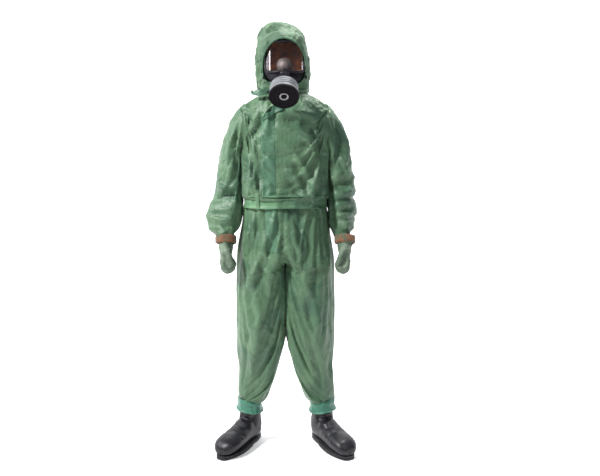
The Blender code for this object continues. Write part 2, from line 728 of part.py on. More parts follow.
def make_canister():
    """The screw-on filter: a ribbed can with a threaded neck, its charcoal, its particle filter and its cap."""
    wall = 0.0016
    rib_depth = 0.0014
    outer = [(CANISTER_RADIUS, CANISTER_FRONT)]
    for z in (0.094, 0.084, 0.074):
        outer += [
            (CANISTER_RADIUS, z), (CANISTER_RADIUS - rib_depth, z - 0.001),
            (CANISTER_RADIUS - rib_depth, z - 0.003), (CANISTER_RADIUS, z - 0.004),
        ]
    outer += [
        (CANISTER_RADIUS, CANISTER_BACK + 0.004), (CANISTER_RADIUS - 0.005, CANISTER_BACK),
        (THREAD_RADIUS + 0.0006, CANISTER_BACK), (THREAD_RADIUS, 0.0354), (THREAD_RADIUS - 0.003, 0.0354),
        (THREAD_RADIUS - 0.003, CANISTER_BACK + wall), (CANISTER_RADIUS - 0.006, CANISTER_BACK + wall),
        (CANISTER_RADIUS - 2 * wall, CANISTER_BACK + 0.006), (CANISTER_RADIUS - 2 * wall, CANISTER_FRONT),
    ]
    can = turned("filter_canister", tuple(outer), "canister_metal", INLET_POINT, INLET_TILT, steps=24)
    can.modifiers["turn"].use_smooth_shade = False
    inner = CANISTER_RADIUS - 2 * wall - 3 * GAP
    disc("charcoal_bed", inner, 0.0600, 0.0860, "charcoal")
    disc("particle_filter", inner, 0.0864, 0.1060, "filter_paper")
    profile = (
        (0.0110, CAP_FRONT), (0.0150, CAP_FRONT + 0.0006), (0.0165, CAP_FRONT - 0.0004),
        (0.0500, CAP_FRONT - 0.0010), (0.0545, CAP_FRONT - 0.0022), (0.0550, CANISTER_FRONT + GAP),
        (0.0110, CANISTER_FRONT + GAP),
    )
    turned("canister_cap", profile, "cap_plastic", INLET_POINT, INLET_TILT, steps=24)
    washer("filter_gasket", 0.0162, 0.0200, 0.0304, 0.0350, "silicone")


# Boots


def boot_frame(side, ahead, across, z):
    """A point given along and across the foot, which is turned out by the splay angle."""
    x = ANKLE_X + ahead * math.sin(SPLAY) + across * math.cos(SPLAY)
    y = ANKLE_Y - ahead * math.cos(SPLAY) + across * math.sin(SPLAY)
    return np.stack([side * x, y, z], axis=-1)


def boot_ring(side, middle_ahead, middle_z, half_wide, half_long, turn):
    """A section of the boot, level in the shaft (turn 0) and upright in the foot (turn 90 degrees)."""
    angle = np.linspace(0.0, 2 * math.pi, ARM_SIDES, endpoint=False)
    cosine = np.cos(angle)
    sine = np.sin(angle)
    across = half_wide * np.sign(cosine) * np.abs(cosine) ** 0.85
    along = half_long * np.sign(sine) * np.abs(sine) ** 0.85
    ahead = middle_ahead + along * math.cos(turn)
    z = middle_z + along * math.sin(turn)
    return boot_frame(side, ahead, across, z)


def make_boot_upper(side, word):
    rings = []
    for z, half_wide, half_long in BOOT_SHAFT:
        rings.append(boot_ring(side, 0.0, z, half_wide, half_long, 0.0))
    pivot_ahead = 0.053
    pivot_z = 0.118
    floor_z = SOLE_TOP + GAP
    for degrees, reach in BOOT_INSTEP:
        turn = math.radians(degrees)
        half = reach / 2
        ahead = pivot_ahead - half * math.cos(turn)
        z = pivot_z - half * math.sin(turn)
        rings.append(boot_ring(side, ahead, z, 0.0430, half, turn))
    for ahead, top, half_wide in BOOT_FOOT:
        half = (top - floor_z) / 2
        if ahead > 0.21:
            half = (top - floor_z - 0.006) / 2
        rings.append(boot_ring(side, ahead, floor_z + half, half_wide, half, math.pi / 2))
    upper = add_object("boot_upper_" + word, loft_mesh("boot_upper", rings, cap_end=True), "boot_rubber")
    solidify(upper)


def sole_outline(grow=0.0, points=36):
    """(ahead, across) round the sole: wide at the ball, narrow at the waist, round at toe and heel."""
    angle = np.linspace(0.0, 2 * math.pi, points, endpoint=False)
    ahead = 0.0850 + (0.1500 + grow) * np.cos(angle)
    share = (ahead + 0.065) / 0.300
    waist = 0.0410 + 0.0120 * np.sin(math.pi * np.clip(share - 0.18, 0, 1)) ** 2 * np.sign(share - 0.35)
    across = (waist + grow) * np.sign(np.sin(angle)) * np.abs(np.sin(angle)) ** 0.62
    return ahead, across


def make_sole(side, word):
    """An outsole with a raised arch between heel and tread, and a loose insole inside the boot."""
    rings = []
    for z, grow in ((0.0, -0.001), (0.002, 0.001), (0.016, 0.001), (SOLE_TOP, -0.001)):
        ahead, across = sole_outline(grow)
        rings.append(boot_frame(side, ahead, across, np.full(len(ahead), z)))
    sole = add_object("boot_sole_" + word, loft_mesh("boot_sole", rings, True, True), "boot_rubber", smooth=False)
    arch = box_mesh("arch", (0.022, -0.080, -0.010), (0.062, 0.080, 0.009))
    for vertex in arch.vertices:
        ahead, across, z = vertex.co
        vertex.co = boot_frame(side, ahead, across, z)
    turn_outwards(arch)
    boolean(sole, add_cutter("arch_" + word, arch), "DIFFERENCE")
    rings = []
    for z in (0.0295, 0.0325):
        ahead, across = sole_outline(-0.0165, 24)
        rings.append(boot_frame(side, 0.017 + ahead * 0.78, across * 0.72, np.full(len(ahead), z)))
    add_object("insole_" + word, loft_mesh("insole", rings, True, True), "dark_fabric", smooth=False)


make_torso()
make_trousers()
make_belt()
make_flap("storm_flap_upper", TORSO, BELT_TOP + 0.004, 1.432, -0.098, -0.044)
make_flap("storm_flap_lower", PELVIS, 0.864, BELT_BOTTOM - 0.002, -0.100, -0.052)
make_throat_tab()
make_collar()
make_hood()
make_hood_rim()
make_facepiece()
make_visor()
make_visor_frame()
make_nose_cup()
make_inlet()
make_exhalation_valve()
make_harness()
make_canister()
for SIDE, WORD in ((1.0, "left"), (-1.0, "right")):
    make_sleeve_head(SIDE, WORD)
    make_sleeve(SIDE, WORD)
    make_wrist_band(SIDE, WORD)
    make_glove(SIDE, WORD)
    make_ankle_hem(SIDE, WORD)
    make_boot_upper(SIDE, WORD)
    make_sole(SIDE, WORD)
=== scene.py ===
"""Chemical protective suit: coated green coverall with hood, respirator, gloves and boots."""

import math

import bmesh
import bpy
import numpy as np
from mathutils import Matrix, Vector
from mathutils.bvhtree import BVHTree


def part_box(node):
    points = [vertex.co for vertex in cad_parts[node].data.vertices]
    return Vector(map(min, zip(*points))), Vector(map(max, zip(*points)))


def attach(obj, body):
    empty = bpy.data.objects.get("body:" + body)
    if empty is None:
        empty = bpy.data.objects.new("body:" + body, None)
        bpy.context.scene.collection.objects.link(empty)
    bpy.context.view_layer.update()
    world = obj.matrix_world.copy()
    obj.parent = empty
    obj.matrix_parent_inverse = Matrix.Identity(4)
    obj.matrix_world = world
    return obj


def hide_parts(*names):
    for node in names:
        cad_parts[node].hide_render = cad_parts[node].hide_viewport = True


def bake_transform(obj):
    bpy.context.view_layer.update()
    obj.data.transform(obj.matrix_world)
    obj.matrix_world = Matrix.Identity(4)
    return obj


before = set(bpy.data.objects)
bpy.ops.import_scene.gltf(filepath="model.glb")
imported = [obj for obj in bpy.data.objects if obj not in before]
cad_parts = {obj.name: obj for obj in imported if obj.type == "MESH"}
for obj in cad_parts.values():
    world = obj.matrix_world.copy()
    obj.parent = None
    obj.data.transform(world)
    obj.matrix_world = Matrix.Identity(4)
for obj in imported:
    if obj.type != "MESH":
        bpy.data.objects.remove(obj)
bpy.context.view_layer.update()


# ---------------------------------------------------------------------------------------------
# Camera, floor and light: the suit stands on a pale floor that curves up behind it, and
# soft lamps stand on both sides and overhead, as in a product studio.

belt_low, belt_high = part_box("belt")
MIDDLE_Y = (belt_low[1] + belt_high[1]) / 2

camera_data = bpy.data.cameras.new("camera")
camera_data.lens = 42.8
camera_data.sensor_width = 36.0
camera = bpy.data.objects.new("camera", camera_data)
camera.location = (0.061, MIDDLE_Y - 3.0, 1.300)
camera.rotation_euler = (math.radians(90.0 - 7.4), 0.0, 0.0)
bpy.context.scene.collection.objects.link(camera)
bpy.context.scene.camera = camera


def grid_mesh(name, points, around=False, uv=None):
    """A surface from a grid of points, rows by columns by 3. With around, the last column joins the first.
    Each face goes along a row, then up a column, so it faces away from the inside of a ring drawn
    counter-clockwise from above with its rows going up. uv is a grid of pairs with one column more when
    around."""
    rows, columns = points.shape[:2]
    mesh = bpy.data.meshes.new(name)
    steps = columns if around else columns - 1
    row = np.arange(rows - 1)[:, None] * columns
    here = np.arange(steps)[None, :]
    there = (here + 1) % columns
    quads = np.stack([row + here, row + there, row + columns + there, row + columns + here], axis=-1)
    mesh.from_pydata(points.reshape(-1, 3), [], quads.reshape(-1, 4))
    if uv is not None:
        wide = uv.shape[1]
        line = np.arange(rows - 1)[:, None] * wide
        corners = np.stack([line + here, line + here + 1, line + wide + here + 1, line + wide + here],
                           axis=-1)
        layer = mesh.uv_layers.new(name="cut")
        layer.data.foreach_set("uv", uv.reshape(-1, 2)[corners.ravel()].ravel().astype(np.float32))
    mesh.shade_smooth()
    return mesh


def link(name, mesh):
    """Puts a mesh in the scene as an object at the origin."""
    piece = bpy.data.objects.new(name, mesh)
    bpy.context.scene.collection.objects.link(piece)
    return piece


def floor_sheet():
    """Depth runs 0 to 1: flat to the back, then a quarter circle, then straight up."""
    side = np.linspace(-9.0, 9.0, 3)
    bend = np.radians(np.linspace(0.0, 90.0, 13))
    back = 3.2
    radius = 1.5
    y = np.concatenate([[-8.0, 0.0], back + radius * np.sin(bend), [back + radius]])
    z = np.concatenate([[0.0, 0.0], radius - radius * np.cos(bend), [9.0]])
    points = np.empty((len(y), len(side), 3))
    points[:, :, 0] = side[None, :]
    points[:, :, 1] = y[:, None]
    points[:, :, 2] = z[:, None]
    return grid_mesh("studio_floor", points)


studio_floor = link("studio_floor", floor_sheet())
floor_paint = bpy.data.materials.new("studio_floor")
floor_paint.use_nodes = True
floor_tree = floor_paint.node_tree
floor_shader = floor_tree.nodes["Principled BSDF"]
floor_shader.inputs["Base Color"].default_value = (0.85, 0.85, 0.85, 1.0)
floor_shader.inputs["Roughness"].default_value = 0.9
floor_shader.inputs["Specular IOR Level"].default_value = 0.1
floor_shader.inputs["Emission Color"].default_value = (1.0, 1.0, 1.0, 1.0)
floor_place = floor_tree.nodes.new("ShaderNodeTexCoord")
floor_split = floor_tree.nodes.new("ShaderNodeSeparateXYZ")
floor_tree.links.new(floor_place.outputs["Object"], floor_split.inputs[0])
floor_glow = floor_tree.nodes.new("ShaderNodeMapRange")  # painted light: the paper glows, more towards the back, standing in for a lamp behind it
floor_glow.inputs["From Min"].default_value = -0.6
floor_glow.inputs["From Max"].default_value = 1.4
floor_glow.inputs["To Min"].default_value = 0.02
floor_glow.inputs["To Max"].default_value = 0.95
floor_tree.links.new(floor_split.outputs["Y"], floor_glow.inputs["Value"])
floor_tree.links.new(floor_glow.outputs[0], floor_shader.inputs["Emission Strength"])
studio_floor.data.materials.append(floor_paint)

world = bpy.data.worlds.new("studio")
world.use_nodes = True
world.node_tree.nodes["Background"].inputs["Color"].default_value = (1.0, 1.0, 1.0, 1.0)
world_path = world.node_tree.nodes.new("ShaderNodeLightPath")
world_glow = world.node_tree.nodes.new("ShaderNodeMapRange")  # pale to look at, but a dim light
world_glow.inputs["To Min"].default_value = 0.05
world_glow.inputs["To Max"].default_value = 0.95
world.node_tree.links.new(world_path.outputs["Is Camera Ray"], world_glow.inputs["Value"])
world.node_tree.links.new(world_glow.outputs[0], world.node_tree.nodes["Background"].inputs["Strength"])
bpy.context.scene.world = world
bpy.context.scene.view_settings.view_transform = "Standard"


def lamp(name, place, target, size, watts, colour=(1.0, 1.0, 1.0)):
    """A soft rectangular lamp that looks at a point."""
    light = bpy.data.lights.new(name, "AREA")
    light.shape = "RECTANGLE"
    light.size, light.size_y = size
    light.energy = watts
    light.color = colour
    holder = bpy.data.objects.new(name, light)
    holder.location = place
    holder.rotation_euler = (Vector(target) - Vector(place)).to_track_quat("-Z", "Y").to_euler()
    bpy.context.scene.collection.objects.link(holder)


lamp("key_lamp", (-2.2, -1.6, 3.1), (0.0, 0.0, 1.1), (0.4, 0.6), 165.0)
lamp("fill_lamp", (1.6, -2.6, 3.0), (0.0, 0.0, 1.1), (0.9, 0.9), 22.0, (0.90, 0.88, 1.0))
lamp("top_lamp", (0.5, 0.35, 3.3), (0.0, 0.0, 1.2), (0.6, 0.6), 60.0)
lamp("left_strip", (-2.3, 0.16, 1.9), (0.0, 0.0, 1.6), (0.30, 1.0), 13.0)
lamp("left_panel", (-2.5, 0.55, 1.8), (0.0, 0.0, 1.6), (1.7, 1.6), 13.0, (0.92, 0.88, 1.0))
lamp("right_strip", (2.3, 1.15, 1.7), (0.0, 0.0, 1.5), (0.25, 2.2), 9.0, (0.80, 0.75, 1.0))


# ---------------------------------------------------------------------------------------------
# Coated cloth: a woven green fabric with a rubbery coat on both sides. It has a fine grain, a
# dry crinkle from folding and storing, paler rubbed ridges and welded and stitched seams.


def node_group(name, inputs, outputs):
    """An empty shader group with float, colour or vector sockets, and its two end nodes."""
    group = bpy.data.node_groups.new(name, "ShaderNodeTree")
    for label, kind, start in inputs:
        socket = group.interface.new_socket(label, in_out="INPUT", socket_type="NodeSocket" + kind)
        if start is not None:
            socket.default_value = start
    for label, kind in outputs:
        group.interface.new_socket(label, in_out="OUTPUT", socket_type="NodeSocket" + kind)
    return group, group.nodes.new("NodeGroupInput"), group.nodes.new("NodeGroupOutput")


def math_node(tree, operation, first, second=None, third=None):
    """One Math node; each term is a socket or a number."""
    node = tree.nodes.new("ShaderNodeMath")
    node.operation = operation
    for socket, term in zip(node.inputs, (first, second, third)):
        if term is None:
            continue
        if isinstance(term, (int, float)):
            socket.default_value = term
        else:
            tree.links.new(term, socket)
    return node.outputs[0]


def mix_node(tree, share, first, second):
    """One Mix node between two colours; each colour is a socket or a tuple. Its sockets 0, 6 and 7 are the
    share and the two colours, and its output 2 is the mixed colour."""
    node = tree.nodes.new("ShaderNodeMix")
    node.data_type = "RGBA"
    for index, term in zip((0, 6, 7), (share, first, second)):
        if isinstance(term, tuple):
            node.inputs[index].default_value = term
        else:
            tree.links.new(term, node.inputs[index])
    return node.outputs[2]


def noise_node(tree, vector, scale, detail, roughness, distortion=0.0):
    """One Noise texture on a vector; its value output."""
    node = tree.nodes.new("ShaderNodeTexNoise")
    tree.links.new(vector, node.inputs["Vector"])
    node.inputs["Scale"].default_value = scale
    node.inputs["Detail"].default_value = detail
    node.inputs["Roughness"].default_value = roughness
    node.inputs["Distortion"].default_value = distortion
    return node.outputs[0]


def ramp_node(tree, value, stops):
    """One Map Range node from (low, high) to (0, 1), smoothed."""
    node = tree.nodes.new("ShaderNodeMapRange")
    node.interpolation_type = "SMOOTHSTEP"
    tree.links.new(value, node.inputs["Value"])
    node.inputs["From Min"].default_value = stops[0]
    node.inputs["From Max"].default_value = stops[1]
    return node.outputs[0]


def cloth_grain_group():
    """Height: crinkle (ridged noise, warped) plus a fine grain. Mottle: broad patches for colour."""
    group, start, end = node_group(
        "cloth_grain",
        (("Vector", "Vector", None), ("Crinkle", "Float", 1.0), ("Grain", "Float", 1.0)),
        (("Height", "Float"), ("Mottle", "Float"), ("Crease", "Float")),
    )
    place = start.outputs["Vector"]
    broad = noise_node(group, place, 7.0, 3.0, 0.5, 0.6)
    ridged = noise_node(group, place, 13.0, 3.0, 0.50, 0.35)
    crease = math_node(group, "ABSOLUTE", math_node(group, "SUBTRACT", ridged, 0.5))
    crease = math_node(group, "MULTIPLY", crease, 4.0)
    small = noise_node(group, place, 60.0, 3.0, 0.6, 0.4)
    grain = noise_node(group, place, 900.0, 2.0, 0.5)
    height = math_node(group, "MULTIPLY", crease, 0.8)
    height = math_node(group, "ADD", height, math_node(group, "MULTIPLY", small, 0.45))
    height = math_node(group, "MULTIPLY", height, start.outputs["Crinkle"])
    fine = math_node(group, "MULTIPLY", grain, start.outputs["Grain"])
    height = math_node(group, "ADD", height, math_node(group, "MULTIPLY", fine, 0.05))
    group.links.new(height, end.inputs["Height"])
    group.links.new(broad, end.inputs["Mottle"])
    group.links.new(crease, end.inputs["Crease"])
    return group


def seam_group():
    """A seam at one value of the cut's U: Ridge is a flat welt, and Thread is two rows of stitches beside
    it."""
    group, start, end = node_group(
        "cloth_seam",
        (("UV", "Vector", None), ("Place", "Float", 0.0), ("Width", "Float", 0.006)),
        (("Ridge", "Float"), ("Thread", "Float")),
    )
    split = group.nodes.new("ShaderNodeSeparateXYZ")
    group.links.new(start.outputs["UV"], split.inputs[0])
    away = math_node(group, "SUBTRACT", split.outputs[0], start.outputs["Place"])
    away = math_node(group, "ABSOLUTE", away)
    ridge = math_node(group, "LESS_THAN", away, start.outputs["Width"])
    rows = math_node(group, "MULTIPLY", start.outputs["Width"], 0.7)
    line = math_node(group, "ABSOLUTE", math_node(group, "SUBTRACT", away, rows))
    line = math_node(group, "LESS_THAN", line, 0.0006)
    dash = math_node(group, "SINE", math_node(group, "MULTIPLY", split.outputs[1], 1900.0))
    dash = math_node(group, "GREATER_THAN", dash, -0.3)
    group.links.new(ridge, end.inputs["Ridge"])
    group.links.new(math_node(group, "MULTIPLY", line, dash), end.inputs["Thread"])
    return group


CLOTH_GRAIN = cloth_grain_group()
CLOTH_SEAM = seam_group()
SUIT_GREEN = (0.076, 0.162, 0.082, 1.0)
SUIT_PALE = (0.190, 0.310, 0.160, 1.0)
SUIT_DEEP = (0.040, 0.112, 0.060, 1.0)


def cloth_material(name, seams=(), base=SUIT_GREEN, pale=SUIT_PALE, deep=SUIT_DEEP, crinkle=1.0,
                   roughness=0.50, coat=0.10):
    """Coated cloth: base colour with deeper and paler patches, rubbed creases, seams, crinkle and grain."""
    material = bpy.data.materials.new(name)
    material.use_nodes = True
    tree = material.node_tree
    shader = tree.nodes["Principled BSDF"]
    place = tree.nodes.new("ShaderNodeTexCoord")
    grain = tree.nodes.new("ShaderNodeGroup")
    grain.node_tree = CLOTH_GRAIN
    grain.inputs["Crinkle"].default_value = crinkle
    tree.links.new(place.outputs["Object"], grain.inputs["Vector"])
    patches = ramp_node(tree, grain.outputs["Mottle"], (0.30, 0.62))
    colour = mix_node(tree, patches, deep, base)
    worn = ramp_node(tree, grain.outputs["Crease"], (0.55, 0.0))
    worn = math_node(tree, "MULTIPLY", worn, 0.12)
    colour = mix_node(tree, worn, colour, pale)
    height = grain.outputs["Height"]
    for seam in seams:
        stitch = tree.nodes.new("ShaderNodeGroup")
        stitch.node_tree = CLOTH_SEAM
        stitch.inputs["Place"].default_value = seam
        tree.links.new(place.outputs["UV"], stitch.inputs["UV"])
        height = math_node(tree, "ADD", height, math_node(tree, "MULTIPLY", stitch.outputs["Ridge"], 0.25))
        sunk = math_node(tree, "MULTIPLY", stitch.outputs["Thread"], 0.15)
        height = math_node(tree, "SUBTRACT", height, sunk)
        colour = mix_node(tree, math_node(tree, "MULTIPLY", stitch.outputs["Thread"], 0.5), colour, pale)
    tree.links.new(colour, shader.inputs["Base Color"])
    dull = math_node(tree, "MULTIPLY_ADD", grain.outputs["Mottle"], 0.22, roughness - 0.11)
    tree.links.new(dull, shader.inputs["Roughness"])
    relief = tree.nodes.new("ShaderNodeBump")
    relief.inputs["Distance"].default_value = 0.006
    tree.links.new(height, relief.inputs["Height"])
    tree.links.new(relief.outputs[0], shader.inputs["Normal"])
    shader.inputs["Coat Weight"].default_value = coat
    shader.inputs["Coat Roughness"].default_value = 0.35
    shader.inputs["Sheen Weight"].default_value = 0.12
    shader.inputs["Sheen Roughness"].default_value = 0.5
    return material


# ---------------------------------------------------------------------------------------------
# Trousers: two panels a side, welded at the centre front, centre back and inside leg, cut wide
# and straight. The waist goes under the belt and each leg is gathered into its ankle hem.

LEG_SECTIONS = (  # height, middle x, middle y, half width, half depth
    (0.155, 0.161, 0.030, 0.0460, 0.0550),
    (0.182, 0.160, 0.030, 0.0480, 0.0580),
    (0.212, 0.160, 0.029, 0.0600, 0.0700),
    (0.305, 0.148, 0.024, 0.0720, 0.0840),
    (0.400, 0.127, 0.016, 0.0860, 0.0960),
    (0.480, 0.112, 0.008, 0.1080, 0.1040),
    (0.560, 0.104, 0.002, 0.1110, 0.1110),
    (0.660, 0.103, 0.000, 0.1120, 0.1160),
    (0.760, 0.104, 0.000, 0.1110, 0.1200),
    (0.810, 0.104, 0.001, 0.1085, 0.1210),
)
HIP_SECTIONS = (  # height, middle y, half width, half depth
    (0.810, 0.002, 0.212, 0.124),
    (0.880, 0.002, 0.206, 0.129),
    (0.960, 0.001, 0.188, 0.127),
    (1.030, 0.000, 0.171, 0.118),
    (1.052, 0.000, 0.166, 0.115),
    (1.074, 0.000, 0.1655, 0.1145),
)
CROTCH_TOP = 0.885
CROTCH = 0.795


def along(table, heights):
    """The columns of a table of sections at new heights, joined by smooth curves (Catmull-Rom)."""
    rows = np.array(table, float)
    known = rows[:, 0]
    slope = np.gradient(rows[:, 1:], known, axis=0)
    at = np.clip(np.searchsorted(known, heights) - 1, 0, len(known) - 2)
    span = (known[at + 1] - known[at])[:, None]
    t = np.clip((heights - known[at])[:, None] / span, 0.0, 1.0)
    low, high = rows[at, 1:], rows[at + 1, 1:]
    rise = (t ** 3 - 2 * t ** 2 + t) * span * slope[at] + (t ** 3 - t ** 2) * span * slope[at + 1]
    return (2 * t ** 3 - 3 * t ** 2 + 1) * low + (3 * t ** 2 - 2 * t ** 3) * high + rise


def rounded(angle, power):
    """The cosine and sine of a superellipse of that power."""
    cosine = np.cos(angle)
    sine = np.sin(angle)
    return (np.sign(cosine) * np.abs(cosine) ** (2 / power), np.sign(sine) * np.abs(sine) ** (2 / power))


def trouser_half(side, spacing, shrink=0.0):
    """One side of the trousers. Below the crotch each row is a ring round the leg. Above it a row is half a
    superellipse from centre front, round the hip, to centre back. Between them the row's points move in a
    straight line from ring to half ring, by a share that grows like a quarter circle."""
    columns = int(0.72 / spacing)
    heights = np.arange(LEG_SECTIONS[0][0], HIP_SECTIONS[-1][0] + spacing / 2, spacing)
    turn = np.linspace(-math.pi, math.pi, columns)
    leg = along(LEG_SECTIONS, np.minimum(heights, LEG_SECTIONS[-1][0]))
    hip = along(HIP_SECTIONS, np.maximum(heights, HIP_SECTIONS[0][0]))
    cosine, sine = rounded(turn, 2.15)
    ring_x = leg[:, 0:1] + (leg[:, 2:3] - shrink) * cosine
    ring_y = leg[:, 1:2] + (leg[:, 3:4] - shrink) * sine
    cosine, sine = rounded(turn / 2, 2.3)
    half_x = (hip[:, 1:2] - shrink) * cosine
    half_y = hip[:, 0:1] + (hip[:, 2:3] - shrink) * sine
    rise = np.clip((heights - CROTCH) / (CROTCH_TOP - CROTCH), 0.0, 1.0)
    share = np.sqrt(1.0 - (1.0 - rise) ** 2)[:, None]
    points = np.empty((len(heights), columns, 3))
    points[:, :, 0] = side * np.maximum(ring_x * (1 - share) + half_x * share, 0.0012 * (1 - share))
    points[:, :, 1] = MIDDLE_Y + ring_y * (1 - share) + half_y * share
    points[:, :, 2] = heights[:, None]
    uv = np.empty((len(heights), columns, 2))
    uv[:, :, 0] = np.linspace(-0.36, 0.36, columns)[None, :] * side
    uv[:, :, 1] = heights[:, None]
    return points, uv


def trousers_mesh(name, spacing, shrink=0.0):
    """Both halves as one mesh. Points that meet at the centre seam and down each inside leg are merged."""
    shape = bmesh.new()
    for side in (1.0, -1.0):
        points, uv = trouser_half(side, spacing, shrink)
        half = grid_mesh(name, points if side > 0 else points[:, ::-1], uv=uv if side > 0 else uv[:, ::-1])
        shape.from_mesh(half)
    bmesh.ops.remove_doubles(shape, verts=shape.verts, dist=0.0009)
    mesh = bpy.data.meshes.new(name)
    shape.to_mesh(mesh)
    shape.free()
    mesh.shade_smooth()
    return mesh


def corners_of(piece):
    """All the vertices of a piece's mesh as an array."""
    places = np.empty(len(piece.data.vertices) * 3, np.float32)
    piece.data.vertices.foreach_get("co", places)
    return places.reshape(-1, 3).astype(float)


def move_corners(piece, places):
    """Puts a piece's vertices at new places."""
    piece.data.vertices.foreach_set("co", places.astype(np.float32).ravel())
    piece.data.update()


def fold(places, normals, line, width, height):
    """Raises a soft ridge along a line of points, first laid on the surface: height times
    exp(-(distance / width) to a power), fading at both ends of the line. A negative height presses a
    valley."""
    line = np.array(line, float)
    count = 5 * len(line)
    marks = np.arange(len(line), dtype=float)
    line = along(np.column_stack([marks, line]), np.linspace(0.0, len(line) - 1.0, count))
    square = ((places[:, None, :] - line[None]) ** 2) @ np.array((1.0, 0.3, 1.0))
    line = places[np.argmin(square, axis=0)]
    for _ in range(2):
        line[1:-1] = (line[:-2] + 2 * line[1:-1] + line[2:]) / 4
    nearest = np.full(len(places), 1e9)
    share = np.zeros(len(places))
    for index in range(count - 1):
        first, step = line[index], line[index + 1] - line[index]
        t = np.clip(((places - first) @ step) / max(step @ step, 1e-12), 0.0, 1.0)
        gap = np.linalg.norm(places - first - t[:, None] * step, axis=1)
        closer = gap < nearest
        nearest = np.where(closer, gap, nearest)
        share = np.where(closer, (index + t) / (count - 1), share)
    fade = np.clip(np.minimum(share, 1.0 - share) / 0.25, 0.0, 1.0)
    fade = fade * fade * (3 - 2 * fade)
    push = height * np.exp(-((nearest / width) ** 1.6)) * (0.10 + 0.90 * fade)
    return places + normals * push[:, None]


def normals_of(piece):
    """The vertex normals of a piece's mesh as an array."""
    normals = np.empty(len(piece.data.vertices) * 3, np.float32)
    piece.data.vertices.foreach_get("normal", normals)
    return normals.reshape(-1, 3).astype(float)


def lumps(places, scale, seed, octaves=3):
    """A smooth random value at each point, about -1 to 1: sines along seeded directions, added up."""
    dice = np.random.default_rng(seed)
    total = np.zeros(len(places))
    weight = 0.0
    for octave in range(octaves):
        for _ in range(5):
            direction = dice.normal(size=3)
            direction *= scale * 1.9 ** octave / np.linalg.norm(direction)
            total += np.sin(places @ direction + dice.uniform(0, 6.28)) * 0.62 ** octave
        weight += 0.62 ** octave
    return total / (weight * 1.8)


def drape(piece, body, pins, frames, slack, bend, reach):
    """Lets the cloth settle over a hidden body: its rest size grows by the slack, so that it buckles into
    folds and sags on its pinned edges. No point ends further than reach from where it began."""
    scene = bpy.context.scene
    began = corners_of(piece)
    holder = bpy.data.objects.new("settling_body", body)
    scene.collection.objects.link(holder)
    holder.modifiers.new("collide", "COLLISION")
    holder.collision.thickness_outer = 0.004
    holder.collision.thickness_inner = 0.010
    holder.collision.cloth_friction = 12.0
    group = piece.vertex_groups.new(name="held")
    for weight in np.unique(np.round(pins[pins > 0.01], 2)):
        group.add(np.flatnonzero(np.abs(pins - weight) < 0.006).tolist(), float(weight), "REPLACE")
    cloth = piece.modifiers.new("settle", "CLOTH")
    settings = cloth.settings
    settings.quality = 5
    settings.mass = 0.35
    settings.air_damping = 2.0
    settings.tension_stiffness = 18.0
    settings.compression_stiffness = 18.0
    settings.shear_stiffness = 18.0 * 0.6
    settings.bending_stiffness = bend
    settings.tension_damping = 8.0
    settings.compression_damping = 8.0
    settings.shear_damping = 8.0
    settings.bending_damping = 1.0
    settings.vertex_group_mass = "held"
    settings.shrink_min = -slack
    settings.shrink_max = -slack
    cloth.collision_settings.distance_min = 0.004
    cloth.collision_settings.use_self_collision = False
    cloth.point_cache.frame_start = 1
    cloth.point_cache.frame_end = frames
    for number in range(1, frames + 1):
        scene.frame_set(number)
    view = bpy.context.evaluated_depsgraph_get()
    settled = np.empty(len(began) * 3, np.float32)
    piece.evaluated_get(view).data.vertices.foreach_get("co", settled)
    settled = settled.reshape(-1, 3).astype(float)
    piece.modifiers.remove(cloth)
    bpy.data.objects.remove(holder)
    scene.frame_set(1)
    shift = settled - began
    far = np.linalg.norm(shift, axis=1, keepdims=True)
    move_corners(piece, began + shift * np.minimum(1.0, reach / np.maximum(far, 1e-9)))


def pin_heights(places, edges):
    """How firmly each point is held: 1 at each height in the list, fading to 0 over that edge's own
    distance."""
    hold = np.zeros(len(places))
    for height, fade in edges:
        hold = np.maximum(hold, 1.0 - np.clip(np.abs(places[:, 2] - height) / fade, 0.0, 1.0))
    return np.round(hold, 1)


def crumple(places, normals, stretch, scale, seed, height):
    """Raises sharp ridges: height times 1 - 2 |lumps|, on the places multiplied by stretch. A small stretch
    along one axis draws the ridges out along that axis."""
    ridges = 1.0 - 2.0 * np.abs(lumps(places * stretch, scale, seed, 2))
    return places + normals * (height * np.clip(ridges, -0.6, 1.0))[:, None]


